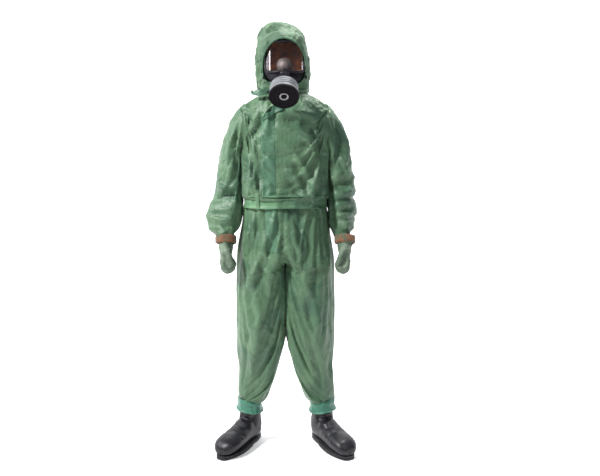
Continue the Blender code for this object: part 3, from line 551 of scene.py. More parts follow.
def make_trousers():
    """The cloth settles over the legs. Folds, a fine crumple and the waist's pleats are then added."""
    piece = link("trousers_cloth", trousers_mesh("trousers_cloth", 0.0075))
    places = corners_of(piece)
    pins = pin_heights(places, ((LEG_SECTIONS[0][0], 0.045), (HIP_SECTIONS[-1][0], 0.030)))
    inner = np.clip(1.0 - (np.abs(places[:, 0]) - 0.004) / 0.02, 0.0, 1.0) * (places[:, 2] > 0.44)
    loose = crumple(places, normals_of(piece), (1.0, 1.0, 0.45), 30.0, 5, 0.004)
    move_corners(piece, loose)
    pins = np.round(np.maximum(pins, 0.8 * inner), 1)
    drape(piece, trousers_mesh("leg_form", 0.014, 0.022), pins, 20, 0.045, bend=2.0, reach=0.04)
    places = corners_of(piece)
    normals = normals_of(piece)
    y = MIDDLE_Y
    front = y - 0.13
    folds = (
        (((-0.045, front, 1.02), (-0.090, front, 0.88), (-0.185, y - 0.08, 0.62)), 0.013, 0.013),
        (((-0.030, front, 0.98), (-0.075, front, 0.84), (-0.150, y - 0.11, 0.64)), 0.011, -0.014),
        (((-0.100, front, 1.03), (-0.125, front, 0.93), (-0.180, y - 0.08, 0.80)), 0.009, -0.010),
        (((-0.130, front, 1.03), (-0.155, front, 0.95), (-0.195, y - 0.05, 0.86)), 0.009, 0.009),
        (((-0.010, front, 1.04), (-0.012, front, 0.94), (-0.006, front, 0.86)), 0.010, -0.011),
        (((0.030, front, 1.03), (0.040, front, 0.93), (0.020, front, 0.82)), 0.012, 0.007),
        (((0.090, front, 1.03), (0.105, front, 0.92), (0.120, front, 0.82)), 0.014, -0.007),
        (((0.008, front, 0.84), (0.070, front, 0.805), (0.190, y - 0.06, 0.800)), 0.009, 0.009),
        (((0.008, front, 0.82), (0.080, y - 0.12, 0.70), (0.120, y - 0.11, 0.50)), 0.014, -0.013),
        (((0.020, front, 0.80), (0.110, y - 0.12, 0.68), (0.160, y - 0.10, 0.46)), 0.012, 0.010),
        (((-0.010, front, 0.82), (-0.045, y - 0.12, 0.68), (-0.060, y - 0.11, 0.50)), 0.012, -0.013),
        (((-0.100, y - 0.12, 0.66), (-0.120, y - 0.11, 0.48), (-0.160, y - 0.08, 0.27)), 0.014, 0.010),
        (((-0.150, y - 0.11, 0.56), (-0.180, y - 0.08, 0.40), (-0.190, y - 0.05, 0.26)), 0.010, -0.011),
        (((0.060, y - 0.11, 0.56), (0.100, y - 0.10, 0.42), (0.130, y - 0.06, 0.26)), 0.011, 0.011),
        (((0.090, y - 0.11, 0.50), (0.135, y - 0.09, 0.37), (0.160, y - 0.06, 0.24)), 0.009, -0.010),
        (((0.180, y - 0.07, 0.62), (0.200, y - 0.05, 0.44), (0.195, y - 0.04, 0.28)), 0.012, -0.010),
        (((0.060, y + 0.12, 0.82), (0.120, y + 0.12, 0.70), (0.130, y + 0.11, 0.44)), 0.016, 0.012),
        (((-0.060, y + 0.12, 0.82), (-0.120, y + 0.12, 0.68), (-0.140, y + 0.11, 0.42)), 0.016, 0.012),
        (((0.000, y + 0.12, 0.90), (0.080, y + 0.13, 0.86), (0.170, y + 0.09, 0.90)), 0.013, -0.010),
        (((0.000, y + 0.12, 0.88), (-0.080, y + 0.13, 0.84), (-0.170, y + 0.09, 0.88)), 0.013, -0.010),
    )
    free = np.clip((places[:, 2] - 0.17) / 0.04, 0.0, 1.0) * np.clip((1.070 - places[:, 2]) / 0.02, 0.0, 1.0)
    shaped = places.copy()
    for line, width, height in folds:
        shaped = fold(shaped, normals, line, width, height)
    shaped = crumple(shaped, normals, (1.0, 1.0, 0.35), 42.0, 8, 0.0030)
    around = np.arctan2(places[:, 1] - MIDDLE_Y, places[:, 0])
    gather = np.clip((1.052 - places[:, 2]) / 0.012, 0.0, 1.0)
    gather *= np.clip((places[:, 2] - 0.930) / 0.11, 0.0, 1.0)
    pleat = np.sin(around * 25.0 + 2.0 * np.sin(around * 4.0 + 1.0) + 6.0 * places[:, 2])
    shaped += normals * (0.0045 * gather * pleat)[:, None]
    places += (shaped - places) * free[:, None]
    move_corners(piece, places)
    piece.data.materials.append(cloth_material("trousers_cloth", seams=(0.0,)))
    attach(piece, "root")
    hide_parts("trouser_left", "trouser_right")
    return piece


trousers_cloth = make_trousers()


# ---------------------------------------------------------------------------------------------
# Jacket: a wide upper body with set-in sleeves. It hangs from the shoulders, pulls in slanting
# folds across the chest from the armholes, and is gathered under the belt.

JACKET_SECTIONS = (  # height, middle y, half width, half depth
    (1.052, 0.000, 0.1640, 0.114),
    (1.074, 0.000, 0.1650, 0.115),
    (1.104, 0.000, 0.1770, 0.124),
    (1.150, 0.000, 0.1810, 0.128),
    (1.250, 0.000, 0.1830, 0.132),
    (1.360, 0.000, 0.1810, 0.134),
    (1.430, 0.000, 0.1800, 0.131),
    (1.456, 0.001, 0.1780, 0.128),
    (1.468, 0.001, 0.1720, 0.124),
    (1.480, 0.002, 0.1560, 0.117),
    (1.490, 0.003, 0.1360, 0.109),
    (1.499, 0.004, 0.1140, 0.099),
    (1.507, 0.004, 0.0940, 0.090),
)
SHOULDER = np.array((MIDDLE_Y, 1.375))
ARMHOLE = 0.088


def jacket_points(spacing, shrink=0.0):
    """Rings of superellipses, squarer at the shoulders than at the waist, evenly spaced along the side
    seam."""
    fine = np.linspace(JACKET_SECTIONS[0][0], JACKET_SECTIONS[-1][0], 400)
    outline = along(JACKET_SECTIONS, fine)
    length = np.concatenate([[0.0], np.cumsum(np.hypot(np.diff(fine), np.diff(outline[:, 1])))])
    heights = np.interp(np.linspace(0.0, length[-1], int(length[-1] / spacing)), length, fine)
    shape = along(JACKET_SECTIONS, heights)
    columns = int(0.96 / spacing)
    angle = np.linspace(-math.pi, math.pi, columns, endpoint=False) + math.pi / 2
    power = 2.3 + 0.7 * np.clip((heights - 1.10) / 0.20, 0.0, 1.0)[:, None]
    cosine, sine = rounded(angle[None, :], power)
    points = np.empty((len(heights), columns, 3))
    points[:, :, 0] = (shape[:, 1:2] - shrink) * cosine
    points[:, :, 1] = MIDDLE_Y + shape[:, 0:1] + (shape[:, 2:3] - shrink) * sine
    points[:, :, 2] = heights[:, None]
    uv = np.empty((len(heights), columns + 1, 2))
    uv[:, :, 0] = np.linspace(-0.48, 0.48, columns + 1)[None, :]
    uv[:, :, 1] = heights[:, None]
    return points, uv


def cut_armholes(mesh):
    """Opens both armholes: removes what lies inside each circle, and moves the new edge onto the circle."""
    shape = bmesh.new()
    shape.from_mesh(mesh)
    inside = [
        corner for corner in shape.verts
        if abs(corner.co.x) > 0.11 and math.dist(corner.co[1:], SHOULDER) < ARMHOLE - 0.003
    ]
    bmesh.ops.delete(shape, geom=inside, context="VERTS")
    for corner in shape.verts:
        if corner.is_boundary and 1.25 < corner.co.z < 1.47 and abs(corner.co.x) > 0.11:
            away = np.array(corner.co[1:]) - SHOULDER
            corner.co.y, corner.co.z = SHOULDER + away * (ARMHOLE / np.linalg.norm(away))
    shape.to_mesh(mesh)
    shape.free()
    mesh.shade_smooth()


def make_jacket():
    """The cloth settles over the chest with its armholes held. Folds, a fine crumple and pleats above the
    belt are then added."""
    points, uv = jacket_points(0.0072)
    mesh = grid_mesh("jacket_cloth", points, True, uv)
    cut_armholes(mesh)
    piece = link("jacket_cloth", mesh)
    places = corners_of(piece)
    edge = np.hypot(places[:, 1] - SHOULDER[0], places[:, 2] - SHOULDER[1])
    sides = np.abs(places[:, 0]) > 0.11
    free = np.where(sides, np.clip((edge - ARMHOLE) / 0.03, 0.0, 1.0), 1.0)
    free *= np.clip((places[:, 2] - 1.070) / 0.03, 0.0, 1.0)
    free *= np.clip((1.505 - places[:, 2]) / 0.02, 0.0, 1.0)
    loose = crumple(places, normals_of(piece), (1.0, 1.0, 0.6), 30.0, 11, 0.004)
    move_corners(piece, places + (loose - places) * free[:, None])
    pins = pin_heights(places, ((1.052, 0.030), (1.507, 0.014)))
    armhole = 1.0 - np.clip((edge - ARMHOLE) / 0.012, 0.0, 1.0)
    pins = np.maximum(pins, np.round(np.where(sides, armhole, 0.0), 1))
    body = grid_mesh("chest_form", jacket_points(0.016, 0.026)[0], True)
    drape(piece, body, pins, 20, 0.045, bend=1.2, reach=0.035)
    places = corners_of(piece)
    normals = normals_of(piece)
    y = MIDDLE_Y
    front = y - 0.13
    folds = (
        (((-0.010, front, 1.395), (0.050, front, 1.398), (0.115, front, 1.375), (0.150, front + 0.01, 1.320),
          (0.160, front + 0.02, 1.240), (0.162, front + 0.03, 1.150)), 0.020, -0.030),
        (((-0.020, front, 1.368), (0.040, front, 1.360), (0.090, front, 1.330), (0.118, front, 1.270)),
         0.011, 0.014),
        (((-0.020, front, 1.425), (0.060, front, 1.432), (0.130, front + 0.02, 1.405)), 0.018, 0.010),
        (((0.050, front, 1.330), (0.090, front, 1.318), (0.130, front, 1.260), (0.150, front, 1.220)),
         0.007, 0.011),
        (((0.060, front, 1.310), (0.090, front, 1.296), (0.120, front, 1.250)), 0.007, -0.010),
        (((-0.010, front, 1.330), (0.050, front, 1.250), (0.135, front, 1.120)), 0.010, 0.012),
        (((0.000, front, 1.300), (0.050, front, 1.215), (0.110, front, 1.105)), 0.009, -0.012),
        (((-0.005, front, 1.240), (0.040, front, 1.175), (0.080, front, 1.100)), 0.009, 0.010),
        (((-0.010, front, 1.190), (0.030, front, 1.140), (0.060, front, 1.095)), 0.008, -0.009),
        (((-0.145, front + 0.02, 1.425), (-0.160, front + 0.03, 1.330), (-0.158, front + 0.03, 1.150)),
         0.018, -0.024),
        (((-0.075, front, 1.425), (-0.105, front, 1.385), (-0.150, front + 0.02, 1.325)), 0.010, -0.020),
        (((-0.095, front, 1.435), (-0.125, front, 1.400), (-0.155, front + 0.02, 1.365)), 0.011, 0.014),
        (((-0.115, front, 1.330), (-0.110, front, 1.200), (-0.104, front, 1.085)), 0.006, -0.013),
        (((-0.128, front, 1.320), (-0.122, front, 1.200), (-0.116, front, 1.085)), 0.006, 0.011),
        (((-0.140, front, 1.300), (-0.136, front, 1.190), (-0.128, front, 1.085)), 0.006, -0.012),
        (((-0.152, front, 1.280), (-0.150, front, 1.180), (-0.142, front, 1.085)), 0.006, 0.010),
        (((0.120, y + 0.13, 1.400), (0.050, y + 0.13, 1.280), (0.020, y + 0.13, 1.120)), 0.018, 0.014),
        (((-0.120, y + 0.13, 1.400), (-0.060, y + 0.13, 1.260), (-0.045, y + 0.13, 1.100)), 0.016, 0.014),
        (((0.140, y + 0.12, 1.330), (0.090, y + 0.13, 1.220), (0.100, y + 0.12, 1.090)), 0.014, -0.014),
        (((-0.140, y + 0.12, 1.300), (-0.100, y + 0.13, 1.180), (-0.110, y + 0.12, 1.090)), 0.013, -0.014),
    )
    shaped = places.copy()
    for line, width, height in folds:
        shaped = fold(shaped, normals, line, width, height)
    shaped = crumple(shaped, normals, (1.0, 1.0, 0.6), 44.0, 14, 0.0030)
    around = np.arctan2(places[:, 1] - MIDDLE_Y, places[:, 0])
    gather = np.clip((places[:, 2] - 1.088) / 0.012, 0.0, 1.0)
    gather *= np.clip((1.170 - places[:, 2]) / 0.075, 0.0, 1.0)
    pleat = np.sin(around * 29.0 + 2.0 * np.sin(around * 5.0) + 9.0 * places[:, 2])
    shaped += normals * (0.0042 * gather * pleat)[:, None]
    places += (shaped - places) * free[:, None]
    move_corners(piece, places)
    piece.data.materials.append(cloth_material("jacket_cloth"))
    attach(piece, "root")
    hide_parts("torso")
    return piece


jacket_cloth = make_jacket()


# ---------------------------------------------------------------------------------------------
# Sleeves: cut wide for a bent arm, so the cloth hangs full at the elbow and stacks in rolls above
# the wrist. The wearer's right elbow is pushed out, and the left sleeve has slipped down its arm.

SLEEVE_START = (0.150, 0.178)  # from the middle: inside the armhole, and at it
FAN_POINT = (0.181, 1.287)
FAN = (  # degrees round the armpit, width of the sleeve
    (0, 0.178),
    (11, 0.155),
    (30, 0.120),
    (58, 0.099),
    (90, 0.096),
)
SLEEVE_RIGHT = (  # height, inner x, outer x, middle y, half depth
    (1.287, 0.181, 0.277, 0.000, 0.0680),
    (1.239, 0.183, 0.287, 0.001, 0.0670),
    (1.189, 0.183, 0.290, 0.002, 0.0660),
    (1.139, 0.184, 0.294, 0.004, 0.0660),
    (1.088, 0.185, 0.311, 0.006, 0.0660),
    (1.045, 0.186, 0.336, 0.002, 0.0640),
    (1.015, 0.188, 0.339, -0.004, 0.0620),
    (0.987, 0.195, 0.328, -0.013, 0.0590),
    (0.962, 0.203, 0.306, -0.023, 0.0520),
    (0.936, 0.206, 0.298, -0.034, 0.0460),
    (0.905, 0.208, 0.290, -0.045, 0.0420),
)
SLEEVE_LEFT = (
    (1.287, 0.181, 0.277, 0.000, 0.0680),
    (1.239, 0.183, 0.287, 0.001, 0.0670),
    (1.189, 0.183, 0.292, 0.002, 0.0660),
    (1.139, 0.184, 0.303, 0.004, 0.0660),
    (1.088, 0.184, 0.306, 0.006, 0.0660),
    (1.045, 0.185, 0.306, 0.002, 0.0640),
    (1.015, 0.186, 0.303, -0.004, 0.0620),
    (0.987, 0.194, 0.297, -0.013, 0.0580),
    (0.962, 0.203, 0.287, -0.023, 0.0510),
    (0.936, 0.206, 0.282, -0.034, 0.0450),
    (0.905, 0.208, 0.278, -0.045, 0.0410),
)


def sleeve_points(side, spacing, shrink=0.0):
    """Rings in three runs: a short cylinder inside the armhole, rings fanned about a line at the armpit, and
    rings down the arm. Every ring starts at its outer side and turns backwards to forwards."""
    columns = int(0.40 / spacing)
    turn = np.linspace(0.0, 2 * math.pi, columns, endpoint=False)[None, :]
    cosine, sine = rounded(turn, 2.1)
    x = np.arange(*SLEEVE_START, spacing)[:, None]
    radius = ARMHOLE - 0.001 - shrink
    start = np.stack([x + 0 * cosine, -radius * sine + 0 * x, SHOULDER[1] + radius * cosine + 0 * x], axis=-1)
    angle = np.arange(0.0, 90.0, math.degrees(spacing / 0.085))
    table = along(FAN, angle)[:, 0:1]
    depth = 0.0880 - 0.0200 * np.clip(angle / 75.0, 0.0, 1.0)[:, None]
    out = table / 2 + (table / 2 - shrink) * cosine
    lean = np.radians(angle)[:, None]
    fan = np.stack([FAN_POINT[0] - 0.003 + out * np.sin(lean) + 0.003 * lean, -(depth - shrink) * sine,
                    FAN_POINT[1] + out * np.cos(lean)], axis=-1)
    rows = SLEEVE_LEFT if side > 0 else SLEEVE_RIGHT
    heights = np.arange(rows[0][0], rows[-1][0] - 1e-6, -spacing)
    shape = along(tuple(reversed(rows)), heights)
    inner, outer, middle, half = (shape[:, index:index + 1] for index in range(4))
    down = np.stack([(inner + outer) / 2 + ((outer - inner) / 2 - shrink) * cosine,
                     middle - (half - shrink) * sine, heights[:, None] + 0 * cosine], axis=-1)
    points = np.concatenate([start, fan, down])
    points[:, :, 1] += MIDDLE_Y
    uv = np.empty((len(points), columns + 1, 2))
    uv[:, :, 0] = np.linspace(-0.20, 0.20, columns + 1)[None, :]
    uv[:, :, 1] = np.arange(len(points))[:, None] * spacing
    if side < 0:
        points = points[:, ::-1] * (-1.0, 1.0, 1.0)
    return points, uv


def make_sleeve(side, word, folds, seed):
    """The cloth settles over the arm, held at the armhole and the wrist. Folds and a crumple are then added,
    and fade out at both ends."""
    spacing = 0.0068
    points, uv = sleeve_points(side, spacing)
    piece = link("sleeve_cloth_" + word, grid_mesh("sleeve_cloth_" + word, points, True, uv))
    places = corners_of(piece)
    rows = int((SLEEVE_START[1] - SLEEVE_START[0]) / spacing) + 1
    columns = points.shape[1]
    free = np.clip((np.arange(len(points)) - rows) / 5.0, 0.0, 1.0).repeat(columns)
    free *= np.clip((places[:, 2] - 0.906) / 0.02, 0.0, 1.0)
    loose = crumple(places, normals_of(piece), (1.0, 1.0, 1.0), 34.0, seed, 0.004)
    move_corners(piece, places + (loose - places) * free[:, None])
    hold = 1.0 - np.clip((np.arange(len(points)) - rows + 1) / 3.0, 0.0, 1.0).repeat(columns)
    hold = np.maximum(hold, 1.0 - np.clip((places[:, 2] - 0.902) / 0.02, 0.0, 1.0))
    body = grid_mesh("arm_form", sleeve_points(side, 0.014, 0.020)[0], True)
    drape(piece, body, np.round(hold, 1), 18, 0.050, bend=1.0, reach=0.030)
    places = corners_of(piece)
    normals = normals_of(piece)
    shaped = places.copy()
    for line, width, height in folds:
        shaped = fold(shaped, normals, [(side * x, MIDDLE_Y + y, z) for x, y, z in line], width, height)
    shaped = crumple(shaped, normals, (1.0, 1.0, 1.3), 40.0, seed + 1, 0.0028)
    places += (shaped - places) * free[:, None]
    move_corners(piece, places)
    piece.data.materials.append(cloth_material("sleeve_cloth_" + word))
    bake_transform(piece)
    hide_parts("sleeve_head_" + word, "sleeve_upper_" + word, "sleeve_elbow_" + word,
                "sleeve_lower_" + word)


RIGHT_FOLDS = (  # points along each fold, width, height
    (((0.190, -0.07, 1.130), (0.250, -0.08, 1.125), (0.300, -0.05, 1.135)), 0.010, 0.012),
    (((0.190, -0.06, 1.090), (0.240, -0.08, 1.095), (0.325, -0.04, 1.070)), 0.017, -0.022),
    (((0.195, -0.06, 1.030), (0.260, -0.08, 1.035), (0.335, -0.03, 1.040)), 0.010, 0.008),
    (((0.200, -0.06, 1.000), (0.270, -0.07, 0.995), (0.335, -0.03, 1.010)), 0.010, 0.012),
    (((0.200, -0.06, 0.975), (0.260, -0.07, 0.968), (0.320, -0.03, 0.985)), 0.008, -0.012),
    (((0.205, -0.07, 0.945), (0.250, -0.08, 0.938), (0.300, -0.04, 0.948)), 0.007, 0.008),
    (((0.210, -0.08, 1.370), (0.235, -0.07, 1.250), (0.215, -0.07, 1.150)), 0.014, 0.012),
    (((0.190, -0.08, 1.380), (0.205, -0.07, 1.280), (0.192, -0.07, 1.180)), 0.010, -0.014),
    (((0.215, -0.06, 1.330), (0.265, -0.06, 1.310), (0.290, -0.02, 1.300)), 0.009, -0.008),
    (((0.215, -0.06, 1.210), (0.265, -0.06, 1.225), (0.295, -0.02, 1.230)), 0.010, -0.007),
    (((0.270, 0.02, 1.300), (0.285, 0.03, 1.180), (0.310, 0.02, 1.060)), 0.016, 0.010),
    (((0.220, 0.07, 1.250), (0.250, 0.07, 1.120), (0.290, 0.06, 1.030)), 0.016, -0.012),
)
LEFT_FOLDS = (  # points along each fold, width, height
    (((0.205, -0.09, 1.420), (0.222, -0.07, 1.320), (0.205, -0.07, 1.200)), 0.013, -0.020),
    (((0.235, -0.06, 1.410), (0.258, -0.05, 1.300), (0.245, -0.06, 1.210)), 0.012, 0.012),
    (((0.262, -0.05, 1.300), (0.278, -0.04, 1.240), (0.262, -0.06, 1.200)), 0.010, -0.010),
    (((0.190, -0.05, 1.160), (0.245, -0.08, 1.190), (0.302, -0.02, 1.172), (0.270, 0.06, 1.170)),
     0.013, 0.007),
    (((0.190, -0.05, 1.124), (0.240, -0.08, 1.146), (0.288, -0.05, 1.154)), 0.015, -0.019),
    (((0.192, -0.05, 1.090), (0.250, -0.08, 1.108), (0.288, -0.05, 1.118)), 0.012, 0.010),
    (((0.192, -0.05, 1.070), (0.250, -0.08, 1.080), (0.308, -0.02, 1.084), (0.275, 0.06, 1.080)),
     0.007, -0.012),
    (((0.195, -0.05, 1.050), (0.240, -0.08, 1.062), (0.284, -0.05, 1.056)), 0.009, 0.009),
    (((0.198, -0.05, 1.030), (0.250, -0.08, 1.034), (0.284, -0.05, 1.040)), 0.007, -0.013),
    (((0.200, -0.05, 1.010), (0.240, -0.08, 1.018), (0.282, -0.05, 1.010)), 0.008, 0.008),
    (((0.202, -0.06, 0.990), (0.250, -0.08, 0.996), (0.298, -0.02, 1.002), (0.265, 0.04, 1.000)),
     0.007, -0.010),
    (((0.205, -0.06, 0.960), (0.250, -0.08, 0.967), (0.280, -0.05, 0.957)), 0.009, 0.005),
    (((0.230, 0.07, 1.280), (0.250, 0.07, 1.180), (0.270, 0.06, 1.080)), 0.016, -0.012),
)
make_sleeve(-1.0, "right", RIGHT_FOLDS, 23)
make_sleeve(1.0, "left", LEFT_FOLDS, 31)


# ---------------------------------------------------------------------------------------------
# Hood: cut with the jacket, drawn close round the facepiece by an elastic edge. Its crown is
# full and falls into a crumpled peak, a little to the wearer's right.

HOOD_SECTIONS = (  # height, middle x, middle y, half width, half depth
    (1.496, -0.002, 0.000, 0.0960, 0.0930),
    (1.520, -0.004, 0.002, 0.0955, 0.0930),
    (1.550, -0.008, 0.006, 0.1060, 0.1060),
    (1.590, -0.010, 0.011, 0.1140, 0.1140),
    (1.635, -0.012, 0.013, 0.1155, 0.1160),
    (1.680, -0.013, 0.013, 0.1125, 0.1150),
    (1.720, -0.014, 0.015, 0.1050, 0.1090),
    (1.755, -0.017, 0.018, 0.0940, 0.0980),
    (1.778, -0.022, 0.020, 0.0780, 0.0830),
    (1.792, -0.028, 0.022, 0.0560, 0.0620),
    (1.799, -0.032, 0.022, 0.0300, 0.0340),
    (1.801, -0.034, 0.022, 0.0020, 0.0020),
)
FACE_MIDDLE = (-0.002, 1.614)
FACE_HALF = (0.0875, 0.1010, 0.0770)  # across, up and down from the middle
MASK_ROUND = 0.0890
MASK_AHEAD = 0.0637  # how far the facepiece's middle stands in front of the suit's


def hood_points(spacing, shrink=0.0):
    """Rings of near circles, evenly spaced along the crown's side."""
    fine = np.linspace(HOOD_SECTIONS[0][0], HOOD_SECTIONS[-1][0], 500)
    outline = along(HOOD_SECTIONS, fine)
    length = np.concatenate([[0.0], np.cumsum(np.hypot(np.diff(fine), np.diff(outline[:, 2])))])
    heights = np.interp(np.linspace(0.0, length[-1], int(length[-1] / spacing)), length, fine)
    shape = along(HOOD_SECTIONS, heights)
    columns = int(0.70 / spacing)
    angle = np.linspace(-math.pi, math.pi, columns, endpoint=False) + math.pi / 2
    cosine, sine = rounded(angle[None, :], 2.15)
    points = np.empty((len(heights), columns, 3))
    points[:, :, 0] = shape[:, 0:1] + np.maximum(shape[:, 2:3] - shrink, 0.001) * cosine
    points[:, :, 1] = MIDDLE_Y + shape[:, 1:2] + np.maximum(shape[:, 3:4] - shrink, 0.001) * sine
    points[:, :, 2] = heights[:, None] - shrink * 0.8 * np.clip((heights[:, None] - 1.72) / 0.08, 0.0, 1.0)
    return points


def face_ring(x, z):
    """How far out a place is: 1 on the face opening's edge, an ellipse above its middle and a superellipse of
    power 3 below."""
    across = np.abs(x - FACE_MIDDLE[0]) / FACE_HALF[0]
    up = np.maximum(z - FACE_MIDDLE[1], 0.0) / FACE_HALF[1]
    down = np.maximum(FACE_MIDDLE[1] - z, 0.0) / FACE_HALF[2]
    return np.where(z > FACE_MIDDLE[1], np.hypot(across, up), (across ** 3.0 + down ** 3.0) ** (1 / 3.0))


def over_mask(x, y, z):
    """The hood's Y once it is drawn over the facepiece: an upright cylinder with a domed top and a sloping
    skirt round it, which only pushes the front of the hood out."""
    away = np.hypot(x, 1.6 * np.maximum(z - 1.700, 0.0))
    inside = np.sqrt(np.maximum(MASK_ROUND ** 2 - away ** 2, 0.0))
    front = MIDDLE_Y - MASK_AHEAD - inside + 1.6 * np.maximum(away - MASK_ROUND, 0.0)
    share = np.clip((z - 1.545) / 0.045, 0.0, 1.0) * np.clip((MIDDLE_Y - 0.020 - y) / 0.030, 0.0, 1.0)
    return y + np.minimum(front - y, 0.0) * share


def hood_front(x, z):
    """The Y of the hood's front at x and height z."""
    shape = along(HOOD_SECTIONS, np.atleast_1d(z))
    share = np.clip(np.abs((x - shape[:, 0]) / shape[:, 2]), 0.0, 0.999)
    return over_mask(x, MIDDLE_Y + shape[:, 1] - shape[:, 3] * (1.0 - share ** 2.15) ** (1 / 2.15), z)


def cut_face(mesh):
    """Opens the face: removes what lies inside the edge, and moves the new edge onto it."""
    shape = bmesh.new()
    shape.from_mesh(mesh)
    inside = [
        corner for corner in shape.verts
        if corner.co.y < MIDDLE_Y - 0.01 and face_ring(corner.co.x, corner.co.z) < 0.965
    ]
    bmesh.ops.delete(shape, geom=inside, context="VERTS")
    for corner in shape.verts:
        if corner.is_boundary and corner.co.z > 1.52 and corner.co.y < MIDDLE_Y:
            grow = 1.0 / face_ring(corner.co.x, corner.co.z)
            corner.co.x = FACE_MIDDLE[0] + (corner.co.x - FACE_MIDDLE[0]) * grow
            corner.co.z = FACE_MIDDLE[1] + (corner.co.z - FACE_MIDDLE[1]) * grow
            corner.co.y = hood_front(corner.co.x, corner.co.z)[0]
    shape.to_mesh(mesh)
    shape.free()
    mesh.shade_smooth()


def make_hood():
    """Rings pushed out over the facepiece and opened for the face. The cloth settles over the head, and
    folds, a crumple and gathers round the opening are then added."""
    points = hood_points(0.0050)
    points[:, :, 1] = over_mask(points[:, :, 0], points[:, :, 1], points[:, :, 2])
    mesh = grid_mesh("hood_cloth", points, True)
    cut_face(mesh)
    piece = link("hood_cloth", mesh)
    places = corners_of(piece)
    ring = face_ring(places[:, 0], places[:, 2])
    front = places[:, 1] < MIDDLE_Y
    free = np.where(front, np.clip((ring - 1.0) / 0.16, 0.0, 1.0), 1.0)
    free *= np.clip((places[:, 2] - 1.505) / 0.03, 0.0, 1.0)
    loose = crumple(places, normals_of(piece), (1.0, 1.0, 1.0), 40.0, 41, 0.004)
    move_corners(piece, places + (loose - places) * free[:, None])
    pins = pin_heights(places, ((1.496, 0.025),))
    pins = np.maximum(pins, np.round(np.where(front, 1.0 - np.clip((ring - 1.0) / 0.08, 0, 1), 0.0), 1))
    form = hood_points(0.012, 0.016)
    form[:, :, 1] = over_mask(form[:, :, 0], form[:, :, 1] - 0.010, form[:, :, 2]) + 0.010
    body = grid_mesh("head_form", form, True)
    drape(piece, body, pins, 18, 0.05, bend=0.8, reach=0.022)
    places = corners_of(piece)
    normals = normals_of(piece)
    y = MIDDLE_Y
    folds = (
        (((-0.085, y - 0.06, 1.745), (-0.050, y - 0.08, 1.765), (-0.020, y - 0.09, 1.745)), 0.009, -0.013),
        (((-0.075, y - 0.07, 1.765), (-0.040, y - 0.07, 1.782), (0.000, y - 0.08, 1.768)), 0.008, 0.010),
        (((-0.010, y - 0.09, 1.765), (0.015, y - 0.09, 1.750), (0.030, y - 0.09, 1.738)), 0.008, -0.012),
        (((0.005, y - 0.07, 1.785), (0.035, y - 0.07, 1.775), (0.060, y - 0.05, 1.745)), 0.008, 0.010),
        (((0.035, y - 0.08, 1.765), (0.060, y - 0.07, 1.750), (0.072, y - 0.05, 1.715)), 0.008, -0.014),
        (((-0.115, y - 0.02, 1.700), (-0.118, y - 0.03, 1.630), (-0.105, y - 0.04, 1.560)), 0.010, 0.008),
        (((-0.100, y - 0.05, 1.700), (-0.104, y - 0.05, 1.630), (-0.096, y - 0.05, 1.560)), 0.007, -0.008),
        (((0.085, y - 0.04, 1.700), (0.092, y - 0.03, 1.630), (0.084, y - 0.04, 1.560)), 0.008, -0.008),
        (((-0.080, y + 0.10, 1.700), (0.000, y + 0.13, 1.660), (0.060, y + 0.10, 1.600)), 0.012, 0.010),
        (((-0.080, y + 0.10, 1.620), (0.000, y + 0.12, 1.590), (0.070, y + 0.10, 1.640)), 0.012, -0.010),
    )
    shaped = places.copy()
    for line, width, height in folds:
        shaped = fold(shaped, normals, line, width, height)
    peak = 0.0030 + 0.0045 * np.clip((places[:, 2] - 1.71) / 0.04, 0.0, 1.0)
    ridges = crumple(places, normals, (1.0, 1.0, 1.0), 52.0, 47, 1.0) - places
    shaped += ridges * peak[:, None]
    places += (shaped - places) * free[:, None]
    places[:, 1] = over_mask(places[:, 0], places[:, 1], places[:, 2])
    gather = np.clip((ring - 1.01) / 0.04, 0.0, 1.0) * np.clip((1.34 - ring) / 0.20, 0.0, 1.0) * front
    turn = np.arctan2(places[:, 2] - FACE_MIDDLE[1], places[:, 0] - FACE_MIDDLE[0])
    pucker = np.maximum(np.sin(turn * 22.0 + 4.0 * np.sin(turn * 5.0)), -0.3)
    pucker += 0.7 * lumps(places, 45.0, 44, 2)
    places[:, 1] -= 0.0042 * gather * (pucker + 0.3)
    move_corners(piece, places)
    # painted shade: the hood is the suit's own cloth, given darker base and deep greens than the jacket's
    piece.data.materials.append(cloth_material("hood_cloth", base=(0.062, 0.134, 0.068, 1.0),
                                               deep=(0.026, 0.076, 0.042, 1.0), roughness=0.68, coat=0.0))
    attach(piece, "head")
    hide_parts("hood")


